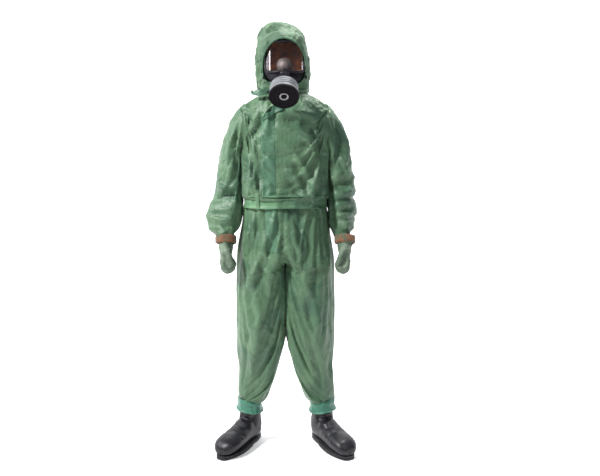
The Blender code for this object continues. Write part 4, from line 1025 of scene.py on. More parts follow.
def tube_mesh(name, path, radius, sides, closed=False, flat=1.0, out=None):
    """A tube round a path of points. Each ring is square to the path. flat scales its thickness along out, a
    direction for each point, or away from Z when there is none."""
    path = np.array(path, float)
    if closed:
        step = np.roll(path, -1, axis=0) - np.roll(path, 1, axis=0)
    else:
        step = np.gradient(path, axis=0)
    step /= np.linalg.norm(step, axis=1, keepdims=True)
    away = np.tile((0.0, 0.0, 1.0), (len(path), 1)) if out is None else np.array(out, float)
    away = away - step * np.sum(away * step, axis=1, keepdims=True)
    away /= np.maximum(np.linalg.norm(away, axis=1, keepdims=True), 1e-9)
    across = np.cross(step, away)
    turn = np.linspace(0.0, 2 * math.pi, sides, endpoint=False)
    wide = np.broadcast_to(np.asarray(radius, float), (len(path),))[:, None, None]
    outward = flat * np.cos(turn)[None, :, None] * away[:, None, :]
    sideways = np.sin(turn)[None, :, None] * across[:, None, :]
    rings = path[:, None, :] + wide * (outward - sideways)
    if closed:
        rings = np.concatenate([rings, rings[:1]])
    else:
        rings = np.concatenate([path[:1, None, :] + 0 * rings[:1], rings,
                                path[-1:, None, :] + 0 * rings[-1:]])
    mesh = grid_mesh(name, rings, True)
    shape = bmesh.new()
    shape.from_mesh(mesh)
    bmesh.ops.remove_doubles(shape, verts=shape.verts, dist=1e-6)
    bmesh.ops.recalc_face_normals(shape, faces=shape.faces)
    shape.to_mesh(mesh)
    shape.free()
    mesh.shade_smooth()
    return mesh


make_hood()

rim_turn = np.linspace(0.0, 2 * math.pi, 120, endpoint=False)
rim_low = np.stack(rounded(rim_turn, 3.0))
rim_cosine, rim_sine = np.where(rim_turn < math.pi, np.stack([np.cos(rim_turn), np.sin(rim_turn)]), rim_low)
rim_x = FACE_MIDDLE[0] + (FACE_HALF[0] + 0.0005) * rim_cosine
rim_z = FACE_MIDDLE[1] + np.where(rim_sine > 0.0, FACE_HALF[1], FACE_HALF[2]) * rim_sine
rim_path = np.stack([rim_x, hood_front(rim_x, rim_z) - 0.002, rim_z], axis=-1)
rim_gather = 0.0042 + 0.0006 * np.sin(rim_turn * 47.0) + 0.0004 * np.sin(rim_turn * 31.0 + 1.0)
hood_edge = link("hood_edge", tube_mesh("hood_edge", rim_path, rim_gather, 10, True))
hood_edge.data.materials.append(cloth_material("hood_edge", base=(0.050, 0.150, 0.075, 1.0),
                                               pale=(0.12, 0.26, 0.13, 1.0), deep=(0.020, 0.080, 0.040, 1.0)))
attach(hood_edge, "head")
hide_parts("hood_rim")


# ---------------------------------------------------------------------------------------------
# Collar: the narrow place between hood and jacket. The cloth there is crushed into short level
# folds by the neck strap, whose loose end sticks out past the wearer's right side.

COLLAR_SECTIONS = (  # height, middle x, middle y, half width, half depth
    (1.488, -0.001, 0.003, 0.1240, 0.1020),
    (1.498, -0.001, 0.003, 0.1140, 0.1010),
    (1.508, -0.002, 0.002, 0.1035, 0.0985),
    (1.522, -0.003, 0.002, 0.1000, 0.0975),
    (1.538, -0.005, 0.004, 0.1030, 0.1015),
    (1.552, -0.008, 0.006, 0.1045, 0.1045),
)


def ring_cloth(name, sections, rows, columns, power=2.1):
    """A band of rings through a table of sections."""
    heights = np.linspace(sections[0][0], sections[-1][0], rows)
    shape = along(sections, heights)
    angle = np.linspace(-math.pi, math.pi, columns, endpoint=False) + math.pi / 2
    cosine, sine = rounded(angle[None, :], power)
    points = np.empty((rows, columns, 3))
    points[:, :, 0] = shape[:, 0:1] + shape[:, 2:3] * cosine
    points[:, :, 1] = MIDDLE_Y + shape[:, 1:2] + shape[:, 3:4] * sine
    points[:, :, 2] = heights[:, None]
    return link(name, grid_mesh(name, points, True))


collar_cloth = ring_cloth("collar_cloth", COLLAR_SECTIONS, 22, 150)
collar_places = corners_of(collar_cloth)
collar_free = np.clip(1.0 - np.abs(collar_places[:, 2] - 1.520) / 0.032, 0.0, 1.0)[:, None]
collar_shaped = crumple(collar_places, normals_of(collar_cloth), (0.6, 0.6, 2.2), 60.0, 61, 0.0070)
move_corners(collar_cloth, collar_places + (collar_shaped - collar_places) * collar_free)
collar_cloth.data.materials.append(cloth_material("collar_cloth"))
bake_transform(collar_cloth)
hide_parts("neck_collar")

tab_turn = np.linspace(0.0, 1.0, 40)
tab_path = np.stack([
    -0.046 - 0.088 * tab_turn + 0.012 * np.clip((tab_turn - 0.8) / 0.2, 0, 1) ** 2,
    MIDDLE_Y - 0.1125 + 0.004 * np.sin(tab_turn * 9.0) + 0.014 * np.clip((tab_turn - 0.75) / 0.25, 0, 1) ** 2,
    1.5115 + 0.0035 * np.sin(tab_turn * 5.0 + 1.0),
], axis=-1)
tab_wide = 0.0125 - 0.0015 * np.sin(tab_turn * 17.0) * tab_turn
throat_strap = link("throat_strap", tube_mesh("throat_strap", tab_path, tab_wide, 16, False, 0.14,
                                              np.tile((0.0, -1.0, 0.15), (len(tab_turn), 1))))
throat_strap.data.materials.append(cloth_material("throat_strap", base=(0.035, 0.120, 0.065, 1.0),
                                                  pale=(0.20, 0.34, 0.20, 1.0),
                                                  deep=(0.015, 0.060, 0.035, 1.0)))
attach(throat_strap, "root")
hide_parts("throat_tab")


# ---------------------------------------------------------------------------------------------
# Storm flap, belt and belt loops: doubled strips of the same cloth. The flap covers the front
# fastening, puckered by its stitches, and the belt is tight enough to gather the waist.


def tree_of(*pieces):
    """One search tree over the faces of several pieces."""
    corners, faces = [], []
    for piece in pieces:
        start = len(corners)
        corners += [corner.co.copy() for corner in piece.data.vertices]
        faces += [[start + index for index in face.vertices] for face in piece.data.polygons]
    return BVHTree.FromPolygons(corners, faces)


def strip_on(name, tree, x, z, lift, front=True, smooth=3):
    """A doubled strip laid on a surface: rows by columns of x and z, each dropped along Y onto the surface,
    evened out, and lifted. The outermost rows and columns go under the surface, as a sewn edge does."""
    way = Vector((0.0, 1.0 if front else -1.0, 0.0))
    y = np.empty(x.shape)
    for index in np.ndindex(x.shape):
        start = Vector((x[index], MIDDLE_Y - way.y * 0.5, z[index]))
        hit = tree.ray_cast(start, way)[0]
        y[index] = hit.y if hit else np.nan
    y = np.where(np.isnan(y), np.nanmedian(y), y)
    for _ in range(smooth):
        wide = np.pad(y, 1, mode="edge")
        y = (wide[:-2, 1:-1] + wide[2:, 1:-1] + wide[1:-1, :-2] + wide[1:-1, 2:] + 2 * y) / 6
    raised = np.broadcast_to(lift, y.shape).copy()
    raised[[0, -1], :] = -0.0012
    raised[:, [0, -1]] = -0.0012
    points = np.stack([x, y - way.y * raised, z], axis=-1)
    return link(name, grid_mesh(name, points if front else points[:, ::-1]))


def edged(low, high, count, lip=0.0012):
    """Even steps between two values, with one more close to each end for a crisp folded edge."""
    inner = np.linspace(low + lip, high - lip, count)
    return np.concatenate([[low], inner, [high]])


FLAP_GREEN = (0.062, 0.168, 0.096, 1.0)


def make_flap(name, tree, low, high, left, right, node, taper, seed):
    """A strip between two heights, moved sideways by the taper on its way down. Stitches ripple it: a slow
    random wave, plus |sin| of the height."""
    z, share = np.meshgrid(edged(low, high, int((high - low) / 0.003)), edged(0.0, 1.0, 16, 0.02),
                           indexing="ij")
    down = np.clip((high - z) / (high - low), 0.0, 1.0)
    x = left + (right - left) * share + taper * down
    spots = np.stack([x * 12.0, 0 * x, z * 75.0], axis=-1).reshape(-1, 3)
    wave = 0.0015 * lumps(spots, 1.6, seed).reshape(z.shape)
    ridges = 0.0014 * np.abs(np.sin(z * 190.0 + 2.5 * np.sin(z * 41.0) + 3.0 * share))
    sunk = 1.0 - 0.85 * np.clip((share - 0.55) / 0.40, 0.0, 1.0)  # the sewn side lies flush with the jacket
    piece = strip_on(name, tree, x, z, (0.0040 + wave + ridges) * sunk)
    piece.data.materials.append(cloth_material(name, base=FLAP_GREEN, crinkle=0.8))
    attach(piece, "root")
    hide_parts(node)
    return piece


front_tree = tree_of(jacket_cloth, trousers_cloth)
flap_upper = make_flap("flap_upper", front_tree, 1.090, 1.430, -0.096, -0.040, "storm_flap_upper", 0.004, 71)
make_flap("flap_lower", front_tree, 0.866, 1.060, -0.084, -0.034, "storm_flap_lower", 0.012, 72)


def make_belt():
    """A band of rings with turned edges, crumpled along its length, with its end's two steps."""
    sections = (  # height, middle x, middle y, half width, half depth
        (1.0430, 0.000, 0.000, 0.1660, 0.1180),
        (1.0440, 0.000, 0.000, 0.1742, 0.1262),
        (1.0500, 0.000, 0.000, 0.1755, 0.1275),
        (1.0560, 0.000, 0.000, 0.1738, 0.1258),
        (1.0720, 0.000, 0.000, 0.1735, 0.1255),
        (1.0880, 0.000, 0.000, 0.1740, 0.1260),
        (1.0975, 0.000, 0.000, 0.1745, 0.1265),
        (1.0985, 0.000, 0.000, 0.1665, 0.1180),
    )
    piece = ring_cloth("belt_cloth", sections, 40, 260, 2.3)
    places = corners_of(piece)
    normals = normals_of(piece)
    ridges = crumple(places, normals, (1.4, 1.4, 0.5), 46.0, 77, 0.0016)
    edge = np.clip(np.minimum(places[:, 2] - 1.044, 1.098 - places[:, 2]) / 0.004, 0.0, 1.0)[:, None]
    places += (ridges - places) * edge
    places[:, 2] += 0.0016 * np.sin(places[:, 0] * 23.0 + 1.0)
    raised = ((-0.108, MIDDLE_Y - 0.11, 1.046), (-0.112, MIDDLE_Y - 0.11, 1.098))
    sunk = ((-0.128, MIDDLE_Y - 0.10, 1.046), (-0.136, MIDDLE_Y - 0.10, 1.098))
    places = fold(places, normals, raised, 0.006, 0.004)
    places = fold(places, normals, sunk, 0.007, -0.004)
    move_corners(piece, places)
    piece.data.materials.append(cloth_material("belt_cloth", base=(0.105, 0.245, 0.120, 1.0), crinkle=0.6))
    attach(piece, "root")
    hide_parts("belt")
    return piece


belt_cloth = make_belt()
belt_tree = tree_of(belt_cloth, jacket_cloth, trousers_cloth)
for loop_word, loop_side in (("left", 1.0), ("right", -1.0)):
    for loop_place, loop_front in (("front", True), ("back", False)):
        loop_z, loop_x = np.meshgrid(edged(1.036, 1.107, 30), edged(0.1035, 0.1205, 8), indexing="ij")
        loop_name = "belt_loop_" + loop_place + "_" + loop_word
        loop_across = loop_x if loop_side > 0 else -loop_x[:, ::-1]
        loop = strip_on(loop_name, belt_tree, loop_across, loop_z, 0.0030, loop_front, 5)
        loop.data.materials.append(cloth_material(loop.name, base=(0.080, 0.178, 0.090, 1.0), crinkle=0.5))
        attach(loop, "root")
        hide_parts("belt_keeper_" + loop_place + "_" + loop_word)


def make_lapel():
    """The flap's top corner, turned back towards the throat: a slanting strip coloured dark as painted shade
    under the filter, with a rolled edge coloured pale as a painted highlight."""
    up, share = np.meshgrid(edged(0.0, 1.0, 22, 0.03), edged(0.0, 1.0, 26, 0.02), indexing="ij")
    x = -0.090 + 0.082 * share + 0.004 * np.sin(share * 7.0)
    z = 1.398 + 0.042 * share + up * (0.012 + 0.030 * np.sin(math.pi * np.clip(share, 0.0, 1.0) ** 0.8))
    swell = 0.0060 + 0.0035 * np.sin(up * 5.0 + share * 4.0) * np.sin(math.pi * share)
    piece = strip_on("flap_lapel", tree_of(jacket_cloth, flap_upper), x, z, swell)
    # painted shade: the strip's dark greens stand for the shadow that falls under the filter
    piece.data.materials.append(cloth_material("flap_lapel", base=(0.026, 0.105, 0.058, 1.0),
                                               pale=(0.10, 0.22, 0.12, 1.0), deep=(0.015, 0.070, 0.040, 1.0)))
    path = corners_of(piece).reshape(up.shape + (3,))[-2, 1:-1] - (0.0, 0.0012, 0.0)
    edge = link("lapel_edge", tube_mesh("lapel_edge", path, 0.0026, 10))
    # painted highlight: the rolled edge's pale greens stand for light falling along it
    edge.data.materials.append(cloth_material("lapel_edge", base=(0.230, 0.380, 0.220, 1.0),
                                              pale=(0.42, 0.55, 0.38, 1.0), deep=(0.160, 0.300, 0.160, 1.0)))
    for each in (piece, edge):
        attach(each, "root")


make_lapel()


# ---------------------------------------------------------------------------------------------
# Ankle hems and wrist bands: elastic that closes the suit over the boots and gloves. The hem is
# a lighter, bluer green, and the wrist band a rust-brown elastic with green threads.

ANKLE = (0.160, 0.030)  # across and back from the middle
HEM_SECTIONS = (  # height, middle x, middle y, half width, half depth
    (0.1430, 0.000, 0.000, 0.0485, 0.0580),
    (0.1440, 0.000, 0.000, 0.0530, 0.0625),
    (0.1560, 0.000, 0.000, 0.0545, 0.0640),
    (0.1700, 0.000, 0.000, 0.0525, 0.0620),
    (0.1880, 0.000, 0.000, 0.0540, 0.0640),
    (0.2000, 0.000, 0.000, 0.0500, 0.0600),
)
for hem_word, hem_side in (("left", 1.0), ("right", -1.0)):
    hem = ring_cloth("ankle_hem_cloth_" + hem_word, HEM_SECTIONS, 34, 120)
    hem_places = corners_of(hem)
    hem_shaped = crumple(hem_places, normals_of(hem), (1.6, 1.6, 0.35), 75.0, 81 + int(hem_side), 0.0016)
    hem_places += (hem_shaped - hem_places) * np.clip((hem_places[:, 2] - 0.1432) / 0.004, 0.0, 1.0)[:, None]
    hem_places += (hem_side * ANKLE[0], ANKLE[1], 0.0)
    hem_places[:, 2] += 0.006 * np.clip(hem_side * hem_places[:, 0] - 0.155, -0.04, 0.04) / 0.04
    move_corners(hem, hem_places)
    hem.data.materials.append(cloth_material(hem.name, base=(0.052, 0.215, 0.140, 1.0),
                                             pale=(0.14, 0.34, 0.24, 1.0),
                                             deep=(0.030, 0.160, 0.105, 1.0), crinkle=0.7))
    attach(hem, "root")
    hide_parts("ankle_hem_" + hem_word)

FOREARM = np.array((-0.0075, -0.300, -0.950)) / np.linalg.norm((-0.0075, -0.300, -0.950))


def elastic_material(name):
    """Ribbed knitted elastic: rust brown, with green threads in patches and a rib along its width."""
    material = bpy.data.materials.new(name)
    material.use_nodes = True
    tree = material.node_tree
    shader = tree.nodes["Principled BSDF"]
    place = tree.nodes.new("ShaderNodeTexCoord")
    patches = ramp_node(tree, noise_node(tree, place.outputs["Object"], 28.0, 3.0, 0.6), (0.44, 0.60))
    colour = mix_node(tree, patches, (0.240, 0.098, 0.036, 1.0), (0.090, 0.120, 0.062, 1.0))
    tree.links.new(colour, shader.inputs["Base Color"])
    shader.inputs["Roughness"].default_value = 0.8
    rib = tree.nodes.new("ShaderNodeTexWave")
    rib.bands_direction = "Z"
    rib.inputs["Scale"].default_value = 120.0
    rib.inputs["Distortion"].default_value = 1.0
    tree.links.new(place.outputs["Object"], rib.inputs["Vector"])
    relief = tree.nodes.new("ShaderNodeBump")
    relief.inputs["Distance"].default_value = 0.0012
    tree.links.new(rib.outputs[1], relief.inputs["Height"])
    tree.links.new(relief.outputs[0], shader.inputs["Normal"])
    shader.inputs["Sheen Weight"].default_value = 0.3
    return material


def make_band(side, word):
    """Rings square to the forearm. The band bulges a little between its two tight edges."""
    share = np.linspace(0.0, 1.0, 16)[:, None]
    turn = np.linspace(0.0, 2 * math.pi, 90, endpoint=False)[None, :]
    centre = np.array((0.2480, -0.0480, 0.9270)) + FOREARM * 0.034 * share[:, :, None].reshape(-1, 1, 1)
    bulge = 0.0435 + 0.0012 * np.sin(math.pi * share) - 0.004 * (share == 0) - 0.005 * (share == 1)
    bulge = bulge + 0.0008 * np.sin(turn * 23.0) + 0.0006 * np.sin(turn * 37.0 + 5.0 * share)
    ahead = np.array((0.0, FOREARM[2], -FOREARM[1]))
    ahead /= np.linalg.norm(ahead)
    points = centre + bulge[:, :, None] * (
        np.cos(turn)[:, :, None] * np.array((0.97, 0.0, 0.0)) + np.sin(turn)[:, :, None] * ahead)
    points += (0.0, MIDDLE_Y, 0.0)
    if side < 0:
        points = points[:, ::-1] * (-1.0, 1.0, 1.0)
    band = link("wrist_elastic_" + word, grid_mesh("wrist_elastic_" + word, points, True))
    band.data.materials.append(elastic_material(band.name))
    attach(band, "forearm_" + word)
    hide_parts("wrist_band_" + word)


make_band(1.0, "left")
make_band(-1.0, "right")


# ---------------------------------------------------------------------------------------------
# Gloves: thick dipped gloves, a pale sage green. Each hand hangs half closed beside the thigh,
# its thumb forward, and its short cuff ends inside the wrist elastic.


def rubber_material(name, base, deep, roughness, bump, gloss=0.5):
    """Moulded or dipped rubber: broad dull patches, a fine pebble and darker hollows."""
    material = bpy.data.materials.new(name)
    material.use_nodes = True
    tree = material.node_tree
    shader = tree.nodes["Principled BSDF"]
    place = tree.nodes.new("ShaderNodeTexCoord")
    broad = noise_node(tree, place.outputs["Object"], 22.0, 4.0, 0.6, 0.3)
    fine = noise_node(tree, place.outputs["Object"], 160.0, 3.0, 0.6)
    colour = mix_node(tree, ramp_node(tree, broad, (0.35, 0.65)), deep, base)
    tree.links.new(colour, shader.inputs["Base Color"])
    tree.links.new(math_node(tree, "MULTIPLY_ADD", broad, 0.30, roughness - 0.15), shader.inputs["Roughness"])
    relief = tree.nodes.new("ShaderNodeBump")
    relief.inputs["Distance"].default_value = bump
    height = math_node(tree, "MULTIPLY_ADD", fine, 0.5, broad)
    tree.links.new(height, relief.inputs["Height"])
    tree.links.new(relief.outputs[0], shader.inputs["Normal"])
    shader.inputs["Specular IOR Level"].default_value = gloss
    return material


def glove_place(across, ahead, down):
    """A place in the hand: across is outwards from the thigh, ahead is square to the hand, and down runs
    along it from the wrist."""
    forward = np.array((0.0, FOREARM[2], -FOREARM[1]))
    forward /= np.linalg.norm(forward)
    wrist = np.array((0.2455, -0.0560, 0.9000))
    return wrist + across * np.array((1.0, 0.0, 0.0)) + ahead * forward + down * FOREARM


def limb(shape, path, radii):
    """Adds a row of balls along a path, close enough to read as one rounded limb."""
    path = np.array(path, float)
    length = np.concatenate([[0.0], np.cumsum(np.linalg.norm(np.diff(path, axis=0), axis=1))])
    steps = np.arange(0.0, length[-1] + 0.0035, 0.0035)
    for step in steps:
        place = [np.interp(step, length, path[:, axis]) for axis in range(3)]
        size = float(np.interp(step, length, radii))
        made = bmesh.ops.create_icosphere(shape, subdivisions=2, radius=size)
        bmesh.ops.translate(shape, verts=made["verts"], vec=place)


def make_glove(side, word):
    """Rows of balls for the palm, fingers, thumb and cuff, joined under one even skin and made lumpy."""
    shape = bmesh.new()
    for ahead in (-0.029, -0.0145, 0.0, 0.0145, 0.029):
        edge = 1.0 - (abs(ahead) / 0.029) ** 2 * 0.16
        limb(shape, [glove_place(0.002, ahead * 0.80, 0.004), glove_place(0.003, ahead, 0.045),
                     glove_place(0.007, ahead * 1.08, 0.086)], [0.0215 * edge, 0.0225 * edge, 0.0175 * edge])
    for number, ahead in enumerate((-0.0330, -0.0112, 0.0108, 0.0325)):
        size = (0.0102, 0.0114, 0.0119, 0.0114)[number]
        reach = (0.108, 0.117, 0.121, 0.115)[number]
        limb(shape, [glove_place(0.012, ahead * 0.98, 0.082), glove_place(0.008, ahead, reach - 0.006),
                     glove_place(-0.006, ahead * 0.97, reach + 0.003),
                     glove_place(-0.023, ahead * 0.94, reach - 0.004),
                     glove_place(-0.030, ahead * 0.92, reach - 0.022),
                     glove_place(-0.022, ahead * 0.90, reach - 0.040)],
             [size * 1.12, size * 1.10, size * 1.04, size, size * 0.95, size * 0.85])
        limb(shape, [glove_place(-0.008, ahead * 0.95, 0.080),
                     glove_place(-0.010, ahead * 0.95, reach - 0.016)], [0.0120, 0.0105])
    limb(shape, [glove_place(0.000, 0.022, 0.022), glove_place(-0.008, 0.044, 0.046),
                 glove_place(-0.019, 0.049, 0.072), glove_place(-0.030, 0.040, 0.096)],
         [0.0175, 0.0150, 0.0132, 0.0110])
    limb(shape, [glove_place(0.001, 0.004, -0.008), glove_place(0.001, 0.003, 0.004),
                 glove_place(0.001, 0.002, 0.022), glove_place(0.002, 0.001, 0.045)],
         [0.0320, 0.0325, 0.0310, 0.0265])
    for corner in shape.verts:
        corner.co = (side * corner.co.x, corner.co.y + MIDDLE_Y, corner.co.z)
    if side < 0:
        bmesh.ops.reverse_faces(shape, faces=shape.faces)
    raw = bpy.data.meshes.new("glove_raw")
    shape.to_mesh(raw)
    shape.free()
    holder = link("glove_raw_" + word, raw)
    skin = holder.modifiers.new("skin", "REMESH")
    skin.mode = "VOXEL"
    skin.voxel_size = 0.0022
    even = holder.modifiers.new("even", "SMOOTH")
    even.factor = 0.6
    even.iterations = 5
    view = bpy.context.evaluated_depsgraph_get()
    mesh = bpy.data.meshes.new_from_object(holder.evaluated_get(view))
    bpy.data.objects.remove(holder)
    mesh.name = "glove_rubber_" + word
    mesh.materials.clear()
    mesh.shade_smooth()
    piece = link("glove_rubber_" + word, mesh)
    places = corners_of(piece)
    normals = normals_of(piece)
    cuff = np.clip((places[:, 2] - 0.868) / 0.03, 0.0, 1.0)
    places += normals * (0.0012 * lumps(places, 150.0, 91, 2) * (0.6 + cuff))[:, None]
    places += normals * (0.0016 * np.sin(places[:, 2] * 420.0 + 40.0 * places[:, 0]) * cuff)[:, None]
    move_corners(piece, places)
    rubber = rubber_material(piece.name, (0.150, 0.205, 0.142, 1.0), (0.078, 0.120, 0.078, 1.0), 0.55, 0.0012)
    piece.data.materials.append(rubber)
    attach(piece, "hand_" + word)
    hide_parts("glove_" + word)


make_glove(1.0, "left")
make_glove(-1.0, "right")


# ---------------------------------------------------------------------------------------------
# Boots: dark moulded rubber with a toe cap, a welt and a ribbed outsole. The shafts go up inside
# the trouser legs, and the feet are turned out.

SPLAY = math.radians(28.0)
SOLE_TOP = 0.0180
BOOT_SECTIONS = (  # number, ahead, height, half width, half length, turn in degrees
    (0.0, 0.000, 0.285, 0.0380, 0.0435, 0.0),
    (1.0, 0.000, 0.215, 0.0395, 0.0445, 0.0),
    (2.0, 0.000, 0.155, 0.0395, 0.0455, 0.0),
    (3.0, 0.000, 0.124, 0.0415, 0.0510, 0.0),
    (4.0, -0.0021, 0.1001, 0.0430, 0.0580, 18.0),
    (5.0, -0.0009, 0.0817, 0.0435, 0.0650, 34.0),
    (6.0, 0.0041, 0.0708, 0.0440, 0.0680, 44.0),
    (7.0, 0.0197, 0.0687, 0.0440, 0.0595, 56.0),
    (8.0, 0.0369, 0.0685, 0.0445, 0.0520, 72.0),
    (9.0, 0.0530, 0.0680, 0.0450, 0.0495, 90.0),
    (10.0, 0.0900, 0.0610, 0.0475, 0.0425, 90.0),
    (11.0, 0.1300, 0.0555, 0.0515, 0.0370, 90.0),
    (12.0, 0.1700, 0.0520, 0.0520, 0.0335, 90.0),
    (13.0, 0.2000, 0.0480, 0.0470, 0.0295, 90.0),
    (14.0, 0.2200, 0.0410, 0.0360, 0.0220, 90.0),
    (15.0, 0.2300, 0.0350, 0.0210, 0.0140, 90.0),
    (16.0, 0.2330, 0.0330, 0.0030, 0.0030, 90.0),
)


def foot_place(side, ahead, across, z):
    """A place given along and across the foot, which is turned out."""
    x = ANKLE[0] + ahead * math.sin(SPLAY) + across * math.cos(SPLAY)
    y = ANKLE[1] - ahead * math.cos(SPLAY) + across * math.sin(SPLAY)
    return np.stack([side * x, MIDDLE_Y + y, z + 0 * x], axis=-1)


def make_boot(side, word):
    """Sections turned from level in the shaft to upright in the foot, flattened where they meet the sole."""
    marks = np.linspace(0.0, 16.0, 170)
    table = along(BOOT_SECTIONS, marks)
    ahead, z, wide, half, turn = (table[:, index:index + 1] for index in range(5))
    turn = np.radians(turn)
    angle = np.linspace(0.0, 2 * math.pi, 96, endpoint=False)[None, :]
    cosine, sine = rounded(angle, 2.35)
    line = ahead + half * sine * np.cos(turn)
    height = z + half * sine * np.sin(turn)
    across = wide * cosine
    cap = np.clip((line - 0.148) / 0.004, 0.0, 1.0) * np.clip((height - 0.03) / 0.02, 0.0, 1.0)
    seam = np.exp(-((line - 0.146) / 0.003) ** 2) * (height > 0.03)
    grow = 1.0 + 0.022 * cap - 0.012 * seam
    welt = 1.0 + 0.075 * np.clip((0.032 - height) / 0.006, 0.0, 1.0)
    height = z + (height - z) * grow
    across = across * grow * welt
    heel = np.exp(-((line + 0.055) / 0.012) ** 2) * np.clip((0.10 - height) / 0.02, 0.0, 1.0)
    line = line - 0.004 * heel
    height = np.maximum(height, SOLE_TOP + 0.0002)
    points = foot_place(side, line, across, height)
    if side < 0:
        points = points[:, ::-1]
    piece = link("boot_rubber_" + word, grid_mesh("boot_rubber_" + word, points[:, ::-1], True))
    places = corners_of(piece)
    normals = normals_of(piece)
    if np.mean(np.sum(normals[:, :2] * (places[:, :2] - places[:, :2].mean(axis=0)), axis=1)) < 0:
        piece.data.flip_normals()
        normals = normals_of(piece)
    y = MIDDLE_Y
    for crease, width, push in (
        (((0.130, y - 0.02, 0.128), (0.165, y - 0.03, 0.118), (0.200, y + 0.01, 0.130)), 0.007, -0.005),
        (((0.130, y - 0.03, 0.108), (0.172, y - 0.045, 0.102), (0.210, y + 0.00, 0.112)), 0.007, 0.004),
        (((0.145, y - 0.06, 0.088), (0.185, y - 0.055, 0.090), (0.222, y - 0.02, 0.085)), 0.006, -0.004),
        (((0.165, y - 0.10, 0.065), (0.205, y - 0.085, 0.078), (0.245, y - 0.05, 0.062)), 0.006, -0.003),
        (((0.120, y + 0.05, 0.120), (0.150, y + 0.08, 0.128), (0.195, y + 0.05, 0.122)), 0.009, -0.004),
    ):
        places = fold(places, normals, [(side * a, b, c) for a, b, c in crease], width, push)
    places += normals * (0.0010 * lumps(places, 60.0, 101))[:, None]
    places[:, 2] = np.maximum(places[:, 2], SOLE_TOP + 0.0002)
    move_corners(piece, places)
    rubber = rubber_material(piece.name, (0.017, 0.016, 0.021, 1.0), (0.010, 0.009, 0.013, 1.0), 0.42, 0.0008)
    piece.data.materials.append(rubber)
    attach(piece, "root")
    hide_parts("boot_upper_" + word)


def make_outsole(side, word):
    """An outline wide at the ball and narrow at the waist, raised in rings. Its sides are ribbed, and the
    last ring at top and bottom closes towards the middle line."""
    turn = np.linspace(0.0, 2 * math.pi, 480, endpoint=False)
    rings = []
    for z, grow, rib in (
        (0.0000, -0.0300, 0), (0.0000, -0.0040, 0), (0.0008, -0.0010, 0), (0.0030, 0.0005, 1),
        (0.0100, 0.0005, 1), (0.0108, -0.0010, 0), (0.0122, -0.0010, 0), (0.0130, 0.0010, 0),
        (0.0172, 0.0010, 0), (SOLE_TOP, -0.0005, 0), (SOLE_TOP, -0.0300, 0),
    ):
        ahead = 0.0850 + (0.1500 + grow) * np.cos(turn)
        share = (ahead + 0.065) / 0.300
        waist = 0.0410 + 0.0120 * np.sin(math.pi * np.clip(share - 0.18, 0, 1)) ** 2 * np.sign(share - 0.35)
        teeth = rib * 0.0012 * (np.sin(turn * 70.0) > 0.0)
        across = (waist + grow - teeth) * np.sign(np.sin(turn)) * np.abs(np.sin(turn)) ** 0.62
        rings.append(foot_place(side, ahead - teeth * np.cos(turn), across, np.full(len(turn), z)))
    points = np.array(rings) if side > 0 else np.array(rings)[:, ::-1]
    piece = link("outsole_" + word, grid_mesh("outsole_" + word, points, True))
    shape = bmesh.new()
    shape.from_mesh(piece.data)
    bmesh.ops.recalc_face_normals(shape, faces=shape.faces)
    shape.to_mesh(piece.data)
    shape.free()
    piece.data.set_sharp_from_angle(angle=math.radians(35.0))
    rubber = rubber_material(piece.name, (0.014, 0.013, 0.017, 1.0), (0.022, 0.021, 0.024, 1.0), 0.60, 0.0006)
    piece.data.materials.append(rubber)
    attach(piece, "root")
    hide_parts("boot_sole_" + word)


for boot_word, boot_side in (("left", 1.0), ("right", -1.0)):
    make_boot(boot_side, boot_word)
    make_outsole(boot_side, boot_word)


# ---------------------------------------------------------------------------------------------
# Respirator: a black rubber facepiece with a wide curved clear visor in a dark frame, an inner
# nose cup, and a screwed inlet below. A brown face seal stands behind the visor.

FACE_SECTIONS = (  # height, half width, half depth
    (1.541, 0.0340, 0.0580),
    (1.549, 0.0520, 0.0860),
    (1.564, 0.0710, 0.0960),
    (1.575, 0.0785, 0.0795),
    (1.635, 0.0790, 0.0790),
    (1.698, 0.0785, 0.0785),
    (1.710, 0.0680, 0.0660),
    (1.721, 0.0520, 0.0450),
)
VISOR_MIDDLE = np.array((0.0, MIDDLE_Y - MASK_AHEAD, 1.6445))
VISOR_RADIUS = 0.0813
VISOR_HALF = (math.radians(73.0) * VISOR_RADIUS, 0.0555)  # half its length along the arc, half its height


def face_shell():
    """Open arcs round the front of the face, one for each height."""
    heights = np.linspace(FACE_SECTIONS[0][0], FACE_SECTIONS[-1][0], 80)
    shape = along(FACE_SECTIONS, heights)
    angle = np.radians(np.linspace(-205.0, 25.0, 110))[None, :]
    points = np.empty((len(heights), angle.shape[1], 3))
    points[:, :, 0] = shape[:, 0:1] * np.cos(angle)
    points[:, :, 1] = MIDDLE_Y - MASK_AHEAD + shape[:, 1:2] * np.sin(angle)
    points[:, :, 2] = heights[:, None]
    points[points[:, :, 1] > MIDDLE_Y + 0.02, 1] = MIDDLE_Y + 0.02
    return link("face_rubber", grid_mesh("face_rubber", points))


def visor_place(along_arc, up, radius):
    """A place on the visor's cylinder, given along its arc and up from its middle."""
    angle = along_arc / VISOR_RADIUS
    return VISOR_MIDDLE + np.stack([radius * np.sin(angle), -radius * np.cos(angle), up], axis=-1)


